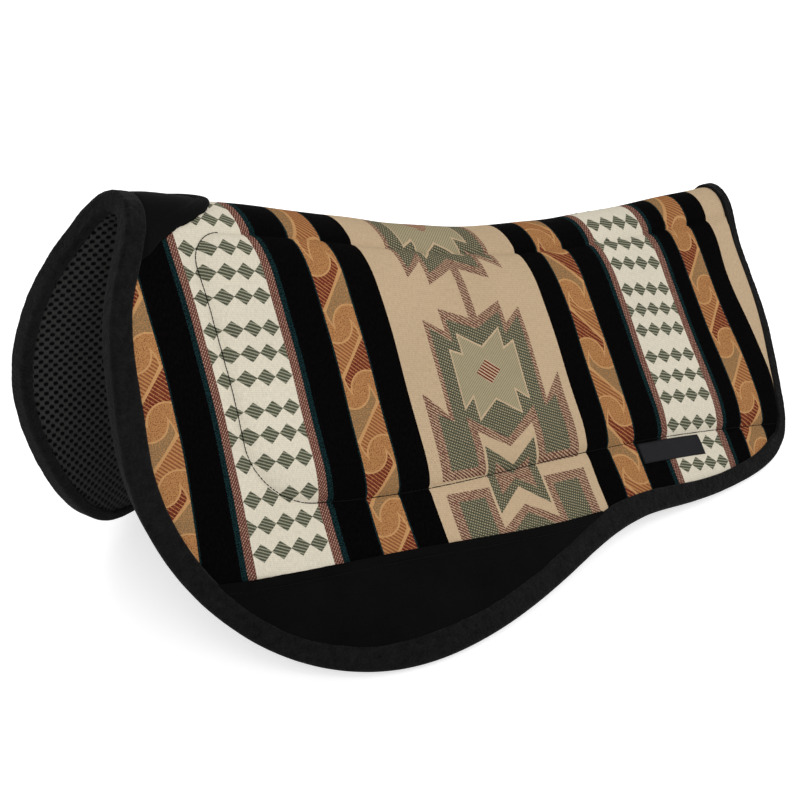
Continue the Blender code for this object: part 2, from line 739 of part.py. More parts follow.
def make_wither_patch(home):
    """The suede tongue over the spine at the withers."""
    suede = finish("wither_suede", (0.012, 0.012, 0.012), 0.9)
    row = np.linspace(-PATCH_ROW, PATCH_ROW, 4 * PATCH_ROW + 1)
    ends = np.interp(abs(row), range(PATCH_ROW + 1), patch_ends())
    column = 1 + even(PATCH_CELLS)[:, None] * (ends - 1)
    points = between_nodes(column, row, OVERLAY_LIFT + LEATHER_THICKNESS)
    diagonals = outer_diagonals(points)
    thicken(sheet("wither_patch", points, diagonals, suede, home), LEATHER_THICKNESS)


def make_label(home):
    """A bare woven label sewn under the bottom seam of the near flap."""
    cloth = finish("label_cloth", (0.02, 0.02, 0.024), 0.7)
    numbers = np.arange(COLUMNS + 1)
    x, seam = PATTERN[:, BOTTOM_ROW].T
    low = PATTERN[:, BOTTOM_ROW + 1, 1]
    column = np.interp(FRONT_END + LABEL_PLACE + even(LABEL_CELLS[0]) * LABEL_WIDTH, x, numbers)
    cell = np.interp(column, numbers, low - seam)
    down = LABEL_SEAM_GAP + (1 - even(LABEL_CELLS[1])) * LABEL_HEIGHT
    row = -BOTTOM_ROW - down / cell[:, None]
    points = between_nodes(column[:, None], row, OVERLAY_LIFT + LABEL_THICKNESS)
    diagonals = outer_diagonals(points)
    thicken(sheet("label", points, diagonals, cloth, home), LABEL_THICKNESS)


def thread(name, points, material, home):
    """A line of sewing thread through these points."""
    curve = bpy.data.curves.new(name, "CURVE")
    curve.dimensions = "3D"
    curve.bevel_depth = THREAD_DIAMETER / 2
    curve.bevel_resolution = 1
    curve.use_fill_caps = True
    spline = curve.splines.new("POLY")
    spline.points.add(len(points) - 1)
    for target, point in zip(spline.points, points):
        target.co = (*point, 1)
    curve.materials.append(material)
    obj = bpy.data.objects.new(name, curve)
    home.objects.link(obj)
    return obj


def quilting_points(sign):
    """The seam round a padded panel, from the rear binding along its top and back along its bottom."""
    nodes = [(column, TOP_ROW) for column in range(COLUMNS - 1, SEAM_COLUMN, -1)]
    nodes += [(SEAM_COLUMN, row) for row in range(TOP_ROW, BOTTOM_ROW + 1)]
    nodes += [(column, BOTTOM_ROW) for column in range(SEAM_COLUMN + 1, COLUMNS)]
    column, row = np.array(nodes, float).T
    return between_nodes(column, sign * row, THREAD_LIFT)


def leather_stitch_points(sign):
    """The line along a wear leather, this far under its top edge."""
    column = np.arange(1, LEATHER_COLUMN + 1)
    top, low = PATTERN[column, LEATHER_ROW], PATTERN[column, LEATHER_ROW + 1]
    row = LEATHER_ROW + LEATHER_STITCH_INSET / np.linalg.norm(low - top, axis=-1)
    return between_nodes(column.astype(float), sign * row, THREAD_LIFT + CLEARANCE + LEATHER_THICKNESS)


def make_threads(home):
    """The quilting round each padded panel, and the stitching of the wear leathers."""
    cotton = finish("thread", (0.03, 0.03, 0.03), 0.6)
    for side, sign in (("near", -1), ("off", 1)):
        thread(f"quilting_thread_{side}", quilting_points(sign), cotton, home)
        thread(f"leather_thread_{side}", leather_stitch_points(sign), cotton, home)


def main():
    clear_scene()
    pad = collection("western_saddle_pad")
    cutters = collection("cutters")
    make_cover(pad)
    make_inserts(pad)
    make_core(pad)
    make_lining(pad)
    cut_lobes_flat(make_binding(pad), cutters)
    make_wear_leathers(pad)
    make_wither_patch(pad)
    make_label(pad)
    make_threads(pad)


main()
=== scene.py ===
"""Dresses the western saddle pad: tapestry, suede, fleece binding, stitching, lining and stage.

A place on the pad is given by x, along the spine, and by its drop down the flap, below zero
on the near flap. The cloths carry that place as an attribute, and the weave is drawn on it.
"""

import math
from functools import partialmethod

import bpy
import numpy as np
from bpy.props import FloatProperty, FloatVectorProperty, IntProperty, PointerProperty
from mathutils import Matrix, Vector


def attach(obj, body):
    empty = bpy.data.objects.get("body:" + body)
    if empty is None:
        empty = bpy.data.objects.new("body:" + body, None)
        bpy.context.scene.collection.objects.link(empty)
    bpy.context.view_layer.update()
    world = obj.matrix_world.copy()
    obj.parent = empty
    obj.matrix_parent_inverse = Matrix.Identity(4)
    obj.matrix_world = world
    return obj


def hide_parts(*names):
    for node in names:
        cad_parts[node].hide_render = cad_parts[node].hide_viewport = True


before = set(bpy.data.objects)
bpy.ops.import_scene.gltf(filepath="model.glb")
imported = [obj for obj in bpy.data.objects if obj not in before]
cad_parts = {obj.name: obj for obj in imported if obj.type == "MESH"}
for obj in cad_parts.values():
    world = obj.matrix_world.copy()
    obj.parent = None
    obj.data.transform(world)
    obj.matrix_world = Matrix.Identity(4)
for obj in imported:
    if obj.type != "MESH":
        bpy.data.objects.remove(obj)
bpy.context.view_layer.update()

bl_info = {
    "name": "Western saddle pad",
    "version": (1, 0, 0),
    "blender": (4, 5, 0),
    "location": "3D Viewport > Sidebar > Saddle pad",
    "description": "Builds the cloths, suede, binding and stitching of a western saddle pad",
    "category": "Object",
}

# The back under the pad.
SPINE_LENGTH = 0.740
SPINE_HEIGHTS = (0.422, 0.356, 0.289, 0.253, 0.235)
SLOPE_DROPS = (0.000, 0.030, 0.070, 0.140, 0.240, 0.440)
WITHERS_DEGREES = (0, 52, 67, 68, 78, 82)
MIDDLE_DEGREES = (0, 38, 55, 63, 59, 35)
TAIL_DEGREES = (0, 66, 69, 49, 59, 76)
SLOPE_SAMPLES = 49
NORMAL_STEP = 0.0004
STAND_PITCH = 0.003257570
STAND_RAISE = 0.008683867
STAND_SHIFT = 0.025021572

# The outline of the pad.
FRONT_DROP = 0.440
REAR_DROP = 0.3125
FRONT_FLARE = 0.0585
REAR_TAPER = 0.045
FRONT_EDGE_SHARES = (
    (-0.15, 0.0), (0.14, 0.114), (0.63, 0.25), (0.92, 0.409),
    (0.98, 0.568), (0.70, 0.716), (-0.02, 0.875),
)
REAR_EDGE_SHARES = (
    (1.0, 0.893), (0.64, 0.778), (0.41, 0.66), (0.11, 0.533),
    (-0.12, 0.385), (-0.12, 0.25), (0.0, 0.12), (0.0, 0.0),
)
HEM_SHARES = (
    (0.076, 0.89), (0.176, 1.0), (0.286, 0.88), (0.402, 0.62), (0.504, 0.35),
    (0.599, 0.12), (0.694, 0.005), (0.789, 0.0), (0.883, -0.035), (0.957, -0.114),
)
OUTLINE_SAMPLES = 900
OUTLINE_OVERLAP = 3

# Layers and padding.
COVER_THICKNESS = 0.0015
CORE_THICKNESS = 0.008
LINING_THICKNESS = 0.0025
LAYER_GAP = 0.0003
STACK_THICKNESS = COVER_THICKNESS + CORE_THICKNESS + LINING_THICKNESS + 2 * LAYER_GAP
PANEL_CROWN = 0.0095
PANEL_ROLL = 0.038
BORDER_CROWN = 0.0008
BORDER_ROLL = 0.022
ROLL_FULLNESS = 0.7
CHANNEL_HALF = 0.0375
FRONT_SEAM_SETBACK = 0.0545
BOTTOM_SEAM_DROPS = (0.283, 0.276, 0.2465, 0.2445, 0.272)
SEAM_RADIUS = 0.035
LOW_SEAM_RADIUS = 0.055
SEAM_STEP = 0.002
GROOVE_DEPTH = 0.0013
GROOVE_HALF = 0.0030
PUCKER_HEIGHT = 0.00022
PUCKER_LENGTH = 0.017
PUCKER_REACH = 0.012
SAG_HEIGHT = 0.0007
SAG_LENGTH = 0.085
EDGE_CALM = 0.02  # grooves and puckers fade out this far from the binding
GRID_X = (-0.432, 0.384)
GRID_DROP = 0.444
PANEL_GRID_X = 0.372
PANEL_GRID_DROP = 0.29
CORE_STEP = 0.008
CORE_INSET = 0.006
FOAM_STEP = 0.006
FOAM_INSET = 0.009
FILLING_GAP = 0.0004
LINING_STEP = 0.004

# The binding.
BINDING_WIDTH = 0.0245
BINDING_UNDER_WIDTH = 0.0125
BINDING_RADIUS = 0.0044
BINDING_GAP = 0.0005
RING_INSET = BINDING_WIDTH + BINDING_GAP
HIDDEN_INSET = 0.010  # the cloths end here, under the binding
PILE_WAVE = 0.00016
PILE_TUFT = 0.00022

# The share of the binding's width that doesn't show on top, where that starts, and the run
# over which it grows: at the withers by the drop, and along the rear hem by x.
WITHERS_NARROWING, WITHERS_NARROW_DROP, WITHERS_NARROW_RUN = 0.30, 0.20, 0.10
HEM_NARROWING, HEM_NARROW_X, HEM_NARROW_RUN = 0.30, 0.06, 0.16
TAIL_NARROWING = 0.52
TAIL_TURN, TAIL_TURN_START = 1.5, 0.3

# Suede and label.
LEATHER_TOP_DROPS = (0.356, 0.328, 0.3065)
LEATHER_END = 0.0455
LEATHER_TOP_START = -0.44
LEATHER_SEAM_START = -0.43
LEATHER_COLUMNS = 200
LEATHER_ROWS = 60
SUEDE_THICKNESS = 0.0016
SUEDE_ROLL = 0.0032
SUEDE_SEAT = 0.0005
SUEDE_DOUBLING = 0.75  # how much thicker the folded edge is, as a share of the suede
SUEDE_DOUBLING_RUN = 0.003
SUEDE_DENT = 0.0007
SUEDE_DENT_HALF = 0.0016
SUEDE_PRESSED = 0.0010
SUEDE_FREE = 0.006
SUEDE_FREE_START, SUEDE_FREE_RUN = 0.003, 0.009
LEATHER_FOLD = 0.0095
PATCH_FOLD = 0.0085
PATCH_THICKNESS = 0.0024
PATCH_REACH = 0.0985
PATCH_HALF_WIDTH = 0.070
PATCH_SWEEP = 0.101
PATCH_EDGE_DROP = 0.085
PATCH_SHARES = (
    (0.0, 0.0), (0.20, 0.105), (0.35, 0.26), (0.48, 0.45),
    (0.64, 0.663), (0.78, 0.79), (1.0, 1.0),
)
LABEL_START = 0.1205
LABEL_LENGTH = 0.084
LABEL_HEIGHT = 0.0215
LABEL_GAP = 0.0022
LABEL_THICKNESS = 0.0006

# One stitch: its rings along it, their sizes and heights in thread radii, and its gap.
STITCH_RINGS = np.array([0.0, 0.16, 0.5, 0.84, 1.0])
STITCH_SWELL = np.array([0.75, 1.0, 1.0, 1.0, 0.75])
STITCH_RISE = np.array([0.2, 0.7, 0.9, 0.7, 0.2])
STITCH_SIDES = 6
STITCH_GAP = 0.06
THREAD_LIFT = 0.0004

# The weave: where its stripes start and end along the spine.
GOLD_BANDS = ((-0.4079, -0.3744), (-0.2103, -0.1765), (0.0848, 0.1179), (0.2674, 0.2984))
MIRRORED_GOLD_BAND = 2
CREAM_BANDS = ((-0.3289, -0.2590), (0.1638, 0.2325))
TAN_BANDS = ((-0.1420, 0.0551), (0.3286, 0.4600))
TWILL_BANDS = ((-0.3365, -0.3289), (-0.2590, -0.2503), (0.1560, 0.1638), (0.2325, 0.2412))
TEAL_BANDS = ((-0.3417, -0.3365), (-0.2503, -0.2445), (0.1506, 0.1560), (0.2412, 0.2462))
GOLD_EDGE = 0.0017

# The weft bends behind this x, leans ahead of it, and turns over at the spine.
WEFT_BREAK = -0.04
WEFT_CREST = 0.089
WEFT_BEND = 0.5415
WEFT_LEAN = 0.14
WEFT_TURN = 0.03

# The cream bands' diamonds.
CREAM_PARTING = -0.2
DIAMONDS_ACROSS = 4
DIAMOND_ROWS = (0.0748, 0.1084)  # where a middle row of diamonds lies in each cream band
DIAMOND_GROUP = 0.0712
DIAMOND_ROW_GAP = 0.0215
DIAMOND_HALF_HEIGHT = 0.0077
DIAMOND_FULLNESS = 0.98
DIAMOND_MIDDLE_X = -0.294
DIAMOND_LEAN = 0.5
DIAMOND_STRETCH_DROP = 0.217  # past this drop the front rows lie further apart
DIAMOND_STRETCH = 0.115

# The tan bands' medallion. A piece lies between two distances from the middle line, below one
# slanting line and above another, each given by its height at the middle line and its slope.
MEDALLION_MIDDLES = (-0.0415, 0.4270)
STEM_MIDDLE = 0.0722
MEDALLION_HALF_PERIOD = 0.177
STAR_FROM_STEM = 0.075
CHEVRON_TOP, CHEVRON_BOTTOM, INNER_CHEVRON = (0.074, -0.559), (0.0914, -0.716), (0.0657, -0.627)
ROSE_FOOT, GREEN_FOOT = (0.096, 0.0), (0.0873, 0.0)
ROSE = (
    (0, 0.034, (-0.050, -0.359), CHEVRON_TOP),
    (0.034, 0.039, (-0.050, -0.359), ROSE_FOOT),
    (0.039, 0.062, (-0.0182, -0.609), ROSE_FOOT),
    (0.062, 0.0858, (0.0975, -1.008), ROSE_FOOT),
)
GREEN = (
    (0, 0.0335, (-0.0407, -0.382), INNER_CHEVRON),
    (0.0335, 0.0425, (-0.0096, -0.668), INNER_CHEVRON),
    (0.0425, 0.057, (-0.0096, -0.668), GREEN_FOOT),
    (0.057, 0.0745, (0.0728, -0.54), GREEN_FOOT),
    (0, 0.031, CHEVRON_BOTTOM, None),
)
CHEVRON = ((0, 0.034, CHEVRON_TOP, CHEVRON_BOTTOM),)
STAR = (
    (0, 0.0253, (-0.0225, -0.573), (0.0255, 0.668)),
    (0.0253, 0.0395, (-0.0082, -0.387), (-0.0006, 0.775)),
)
STAR_RIM = (
    (0, 0.0268, (-0.0245, -0.573), (0.0275, 0.668)),
    (0.0268, 0.0410, (-0.0102, -0.387), (0.0014, 0.775)),
)
STEM_HALF, STEM_END = 0.0053, -0.045
TIE_REACH, TIE_DROP, TIE_SLOPE, TIE_HALF = 0.0215, 0.102, 0.628, 0.002
HEART_HALVES = (0.015, 0.012)

# The gold bands' scrolls: two bows and a bite, each a circle by its middle and radius.
GOLD_WIDTH = 0.033
SCROLL_MIDDLE = 0.0875
SCROLL_PERIOD = 0.179
SCROLL_RIM = 0.0017
BOW_MIDDLE, BOW_RADIUS = (0.0, -0.0444), 0.0304
NEXT_BOW_MIDDLE = (GOLD_WIDTH, -0.0152)
BITE_MIDDLE, BITE_RADIUS = (0.0076, -0.0618), 0.0194
BOW_PARTING, RIM_PARTING = 0.0026, 2.4

# The lining's air holes.
HOLE_COLUMN = 0.0053
HOLE_PITCH = 0.0105
HOLE_HALVES = (0.0028, 0.0020)

# The stage.
FLOOR_HALF = 6.0
FLOOR_DROP = 0.0004
FLOOR_GREY = 0.80
FLOOR_GLOW = 0.62
ROOM_LIGHT = 0.50
LAMP_TARGET = (0, 0, 0.2)
LAMPS = (
    ("key_light", (-1.6, -2.4, 2.4), 1.8, 56),
    ("side_light", (2.4, -1.8, 1.6), 1.6, 22),
    ("back_light", (0.4, 2.4, 2.0), 1.8, 20),
)
CAMERA_PLACE = (-1.172, -1.391, 1.0647)
CAMERA_AZIMUTH, CAMERA_ELEVATION, CAMERA_ROLL = -38.56, 27.82, -0.73
CAMERA_REACH = 2070.7 / 800  # metres away at which the picture is one metre wide
SENSOR_WIDTH = 36

SIDES = (("near", -1), ("off", 1))
POINTS_AT_ONCE = 20000
PLACES_AT_ONCE = 4000


def natural_spline(knots, values):
    """A smooth function through the values, straight past both ends."""
    t = np.asarray(knots, float)
    v = np.asarray(values, float)
    n = len(t)
    h = np.diff(t)
    matrix = np.eye(n)
    right = np.zeros(n)
    for k in range(1, n - 1):
        matrix[k, k - 1 : k + 2] = h[k - 1], 2 * (h[k - 1] + h[k]), h[k]
        right[k] = 6 * ((v[k + 1] - v[k]) / h[k] - (v[k] - v[k - 1]) / h[k - 1])
    bend = np.linalg.solve(matrix, right)
    first = (v[1] - v[0]) / h[0] - h[0] * bend[1] / 6
    last = (v[-1] - v[-2]) / h[-1] + h[-1] * bend[-2] / 6

    def value(at):
        at = np.asarray(at, float)
        k = np.clip(np.searchsorted(t, at) - 1, 0, n - 2)
        inside = np.clip(at, t[0], t[-1])
        a = (t[k + 1] - inside) / h[k]
        b = 1 - a
        curve = a * v[k] + b * v[k + 1]
        curve = curve + ((a**3 - a) * bend[k] + (b**3 - b) * bend[k + 1]) * h[k] ** 2 / 6
        return curve + np.minimum(at - t[0], 0) * first + np.maximum(at - t[-1], 0) * last

    return value


FRONT_END = -SPINE_LENGTH / 2
REAR_END = SPINE_LENGTH / 2
SEAM_X = FRONT_END + FRONT_SEAM_SETBACK
spine_height = natural_spline(np.linspace(FRONT_END, REAR_END, 5), SPINE_HEIGHTS)
bottom_seam = natural_spline(np.linspace(FRONT_END, REAR_END, 5), BOTTOM_SEAM_DROPS)
leather_top = natural_spline((FRONT_END, FRONT_END / 2, 0), LEATHER_TOP_DROPS)
SLOPES = [
    natural_spline(SLOPE_DROPS, np.radians(slopes))
    for slopes in (WITHERS_DEGREES, MIDDLE_DEGREES, TAIL_DEGREES)
]


def back_point(x, drop):
    """The point of the back at each x and drop."""
    x, drop = np.broadcast_arrays(np.asarray(x, float), np.asarray(drop, float))
    down = np.abs(drop)[..., None] * np.linspace(0, 1, SLOPE_SAMPLES)
    place = (x / REAR_END)[..., None]
    withers, middle, tail = (slope(down) for slope in SLOPES)
    ends = withers * place * (place - 1) / 2 + tail * place * (place + 1) / 2
    slope = ends + middle * (1 - place**2)
    width = np.abs(drop) / (SLOPE_SAMPLES - 1)
    out = (np.cos(slope)[..., 1:] + np.cos(slope)[..., :-1]).sum(-1) / 2 * width
    fall = (np.sin(slope)[..., 1:] + np.sin(slope)[..., :-1]).sum(-1) / 2 * width
    return np.stack([x, np.sign(drop) * out, spine_height(x) - fall], -1)


def unit(vectors):
    """The vectors at length one."""
    return vectors / np.linalg.norm(vectors, axis=-1, keepdims=True)


def back_normal(x, drop):
    """The way up from the back at each x and drop."""
    ahead = back_point(x + NORMAL_STEP, drop) - back_point(x - NORMAL_STEP, drop)
    across = back_point(x, drop + NORMAL_STEP) - back_point(x, drop - NORMAL_STEP)
    return unit(np.cross(ahead, across))


def stood(points):
    """The points turned and moved so that the pad stands level on its lobes."""
    x = points[..., 0] * math.cos(STAND_PITCH) + points[..., 2] * math.sin(STAND_PITCH)
    z = points[..., 2] * math.cos(STAND_PITCH) - points[..., 0] * math.sin(STAND_PITCH)
    return np.stack([x + STAND_SHIFT, points[..., 1], z + STAND_RAISE], -1)


def laid(x, drop, lift):
    """World points at a height over the level of the seams, worked out a run at a time."""
    x, drop, lift = np.broadcast_arrays(np.asarray(x, float), drop, lift)
    shape = x.shape
    x, drop, lift = x.ravel(), drop.ravel(), lift.ravel()
    points = np.empty((len(x), 3))
    for start in range(0, len(x), POINTS_AT_ONCE):
        run = slice(start, start + POINTS_AT_ONCE)
        raised = back_normal(x[run], drop[run]) * lift[run, None]
        points[run] = back_point(x[run], drop[run]) + raised
    return stood(points).reshape(*shape, 3)


def ways(points):
    """How far along its line each point lies."""
    return np.concatenate([[0], np.cumsum(np.linalg.norm(np.diff(points, axis=0), axis=1))])


def read_along(at, way, values):
    """Each column of the values, read at these ways along their line."""
    return np.stack([np.interp(at, way, column) for column in values.T], -1)


def outline():
    """Places along the edge of the off flap, from the spine at the withers round to the tail."""
    front = [(FRONT_END - FRONT_FLARE * out, FRONT_DROP * drop) for out, drop in FRONT_EDGE_SHARES]
    rear = [(REAR_END - REAR_TAPER * taper, REAR_DROP * drop) for taper, drop in REAR_EDGE_SHARES]
    first, last = front[-1][0], rear[0][0]
    hem = [
        (first + along * (last - first), REAR_DROP + down * (FRONT_DROP - REAR_DROP))
        for along, down in HEM_SHARES
    ]
    points = front + hem + rear
    mirrored = [(x, -drop) for x, drop in points]
    ahead = mirrored[OUTLINE_OVERLAP:0:-1]
    behind = mirrored[-2 : -2 - OUTLINE_OVERLAP : -1]
    loop = np.array(ahead + points + behind)
    way = ways(loop)
    way -= way[OUTLINE_OVERLAP]
    samples = np.linspace(0, way[-1 - OUTLINE_OVERLAP], OUTLINE_SAMPLES)
    return np.stack([natural_spline(way, column)(samples) for column in loop.T], -1)


def inward(edge):
    """The way in from the edge at each of its places."""
    tangent = np.gradient(edge, axis=0)
    tangent[[0, -1], 0] = 0
    tangent = unit(tangent)
    return np.stack([tangent[:, 1], -tangent[:, 0]], -1)


def shown_share(edge, inward):
    """The share of the binding's width that shows on top along the edge."""
    x, drop = edge.T
    withers = np.clip((WITHERS_NARROW_DROP - drop) / WITHERS_NARROW_RUN, 0, 1) * (x < 0)
    turned = np.clip(-TAIL_TURN * inward[:, 0] - TAIL_TURN_START, 0, 1)
    tail = turned * turned * (3 - 2 * turned)
    hem = np.clip((x - HEM_NARROW_X) / HEM_NARROW_RUN, 0, 1)
    rear = np.maximum(TAIL_NARROWING * tail, HEM_NARROWING * hem)
    return 1 - WITHERS_NARROWING * withers - rear


EDGE = outline()
EDGE_INWARD = inward(EDGE)
SHOWN_SHARE = shown_share(EDGE, EDGE_INWARD)


def edge_line(inset):
    """The line of the edge, this far inside it where the binding has its full width."""
    return EDGE + EDGE_INWARD * (inset * SHOWN_SHARE)[:, None]


def nearest_on(line, x, drop):
    """The distance from each place to the nearest place of a line, and that one's number."""
    places = np.stack([np.ravel(x), np.ravel(drop)], -1)
    distance = np.empty(len(places))
    number = np.empty(len(places), int)
    for start in range(0, len(places), PLACES_AT_ONCE):
        run = slice(start, start + PLACES_AT_ONCE)
        away = np.linalg.norm(places[run, None] - line, axis=-1)
        distance[run] = away.min(-1)
        number[run] = away.argmin(-1)
    return distance.reshape(np.shape(x)), number.reshape(np.shape(x))


def edge_inset(x, drop):
    """How far each place lies inside the edge, as edge_line counts it, below zero outside."""
    drop = np.abs(drop)
    distance, nearest = nearest_on(EDGE, x, drop)
    side = ((np.stack([x, drop], -1) - EDGE[nearest]) * EDGE_INWARD[nearest]).sum(-1)
    return distance * np.sign(side) / SHOWN_SHARE[nearest]


def rise(distance, crown, roll):
    """Height of a padded form this far in from the line that draws it down."""
    share = np.clip(distance / roll, 0, 1)
    return crown * (1 - (1 - share) ** 2) ** ROLL_FULLNESS


def in_panel(x, drop):
    """How far each place lies inside the seam round its padded panel, below zero outside."""
    drop = np.abs(drop)
    ahead = x - SEAM_X
    under_top, over_bottom = drop - CHANNEL_HALF, bottom_seam(x) - drop
    least = np.minimum(under_top, over_bottom)
    radius = np.where(over_bottom < under_top, LOW_SEAM_RADIUS, SEAM_RADIUS)
    from_middle = np.hypot(np.clip(radius - ahead, 0, None), np.clip(radius - least, 0, None))
    in_corner = (ahead < radius) & (least < radius)
    return np.where(in_corner, radius - from_middle, np.minimum(ahead, least))


def ripple(x, drop, length, seed):
    """A soft unevenness from -1 to 1, with waves of about this length."""
    turn = 2 * math.pi / length
    a = np.sin(turn * (x * 0.83 + drop * 0.55) + seed + 1.3 * np.sin(turn * 0.43 * drop + seed))
    b = np.sin(turn * (x * -0.47 + drop * 0.91) + 2.1 * seed + 1.7 * np.sin(turn * 0.37 * x))
    return (a + b) / 2


def bell(distance, reach):
    """A hump that is 1 at no distance and has faded past this reach."""
    return np.exp(-((distance / reach) ** 2))


def cover_lift(x, drop, inset=None):
    """Height of the tapestry over the level of the seams, with its grooves and puckers."""
    if inset is None:
        inset = edge_inset(x, drop)
    inside = in_panel(x, drop)
    to_edge = inset - RING_INSET
    panel = rise(np.minimum(inside, to_edge * 1.5), PANEL_CROWN, PANEL_ROLL)
    border = rise(np.minimum(-inside, to_edge), BORDER_CROWN, BORDER_ROLL)
    groove = GROOVE_DEPTH * bell(inside, GROOVE_HALF)
    pucker = PUCKER_HEIGHT * bell(inside, PUCKER_REACH) * ripple(x, drop, PUCKER_LENGTH, 0.4)
    sag = SAG_HEIGHT * ripple(x, drop, SAG_LENGTH, 1.9)
    free = np.clip(to_edge / EDGE_CALM, 0, 1)
    return np.where(inside > 0, panel, border) + (pucker + sag - groove) * free


def dressed(name):
    """The collection that holds the dressed pieces."""
    if name not in bpy.data.collections:
        bpy.context.scene.collection.children.link(bpy.data.collections.new(name))
    return bpy.data.collections[name]


def add_piece(name, points, faces, place, material):
    """A mesh piece, with each point's place on the pattern kept for its material."""
    mesh = bpy.data.meshes.new(name)
    mesh.from_pydata(np.asarray(points).tolist(), [], np.asarray(faces).tolist())
    carried = mesh.attributes.new("pattern", "FLOAT_VECTOR", "POINT")
    spot = np.zeros((len(points), 3), np.float32)
    spot[:, :2] = place
    carried.data.foreach_set("vector", spot.ravel())
    mesh.polygons.foreach_set("use_smooth", [True] * len(mesh.polygons))
    mesh.materials.append(material)
    obj = bpy.data.objects.new(name, mesh)
    dressed("saddle_pad").objects.link(obj)
    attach(obj, "root")
    return obj


def whole_cells(kept):
    """The cells of a grid whose four corners are all kept."""
    return kept[:-1, :-1] & kept[1:, :-1] & kept[1:, 1:] & kept[:-1, 1:]


def grid_faces(columns, rows, keep=None):
    """Quads of a grid, facing out where columns run along the spine and rows down the off flap.

    They come with the numbers of the points that they use, and count those points anew.
    """
    number = np.arange(columns * rows).reshape(columns, rows)
    quads = np.stack([number[:-1, :-1], number[1:, :-1], number[1:, 1:], number[:-1, 1:]], -1)
    quads = quads.reshape(-1, 4) if keep is None else quads[keep]
    used, faces = np.unique(quads, return_inverse=True)
    return used, faces.reshape(-1, 4)


def grid_piece(name, x, drop, points, material, keep=None):
    """A piece on a grid of places, with only the cells that are kept."""
    used, faces = grid_faces(*x.shape, keep)
    place = np.stack([x.ravel(), -drop.ravel()], -1)[used]
    return add_piece(name, points.reshape(-1, 3)[used], faces, place, material)


def cloth_grid(step, least):
    """Places of a whole cloth at this step, and the cells that lie this far inside the edge."""
    count = int(GRID_DROP / step)
    x, drop = np.meshgrid(np.arange(*GRID_X, step), np.arange(-count, count + 1) * step, indexing="ij")
    inset = edge_inset(x, drop)
    return x, drop, inset, whole_cells(inset > least)


def thickened(obj, thickness, offset=-1.0):
    """The piece with a thickness, below its surface unless the offset says otherwise."""
    solid = obj.modifiers.new("thickness", "SOLIDIFY")
    solid.thickness = thickness
    solid.offset = offset
    return obj


def dyed(red, green, blue):
    """A colour as the shader wants it, from how it looks on a screen."""
    shown = np.array([red, green, blue]) / 255
    bright = ((shown + 0.055) / 1.055) ** 2.4
    return tuple(np.where(shown <= 0.04045, shown / 12.92, bright).tolist())


class Value:
    """A number in a material, joined to others by plain arithmetic."""

    def __init__(self, tree, socket):
        self.tree = tree
        self.socket = socket

    def worked(self, operation, *others):
        """This value and the others, put through a math node."""
        node = self.tree.nodes.new("ShaderNodeMath")
        node.operation = operation
        for socket, value in zip(node.inputs, (self, *others)):
            if isinstance(value, Value):
                self.tree.links.new(value.socket, socket)
            else:
                socket.default_value = value
        return Value(self.tree, node.outputs[0])

    __add__ = partialmethod(worked, "ADD")
    __sub__ = partialmethod(worked, "SUBTRACT")
    __mul__ = partialmethod(worked, "MULTIPLY")
    __lt__ = partialmethod(worked, "LESS_THAN")
    __gt__ = partialmethod(worked, "GREATER_THAN")
    __abs__ = partialmethod(worked, "ABSOLUTE")
    least = partialmethod(worked, "MINIMUM")
    most = partialmethod(worked, "MAXIMUM")
    fraction = partialmethod(worked, "FRACT")
    root = partialmethod(worked, "SQRT")
    turned_over = partialmethod(worked, "TANH")
    folded = partialmethod(worked, "PINGPONG")

    def wave(self, length):
        """A sine of this length, from -1 to 1."""
        return (self * (2 * math.pi / length)).worked("SINE")

    def striped(self, pitch, share):
        """A mask of stripes that fill this share of each pitch of the value."""
        return (self * (1 / pitch)).fraction() < share

    def between(self, low, high):
        return (self > low) * (self < high)

    def outside(self):
        """One less this mask."""
        return self * -1.0 + 1.0

    def swung(self, share):
        """This noise, centred on nothing and scaled."""
        return (self - 0.5) * share


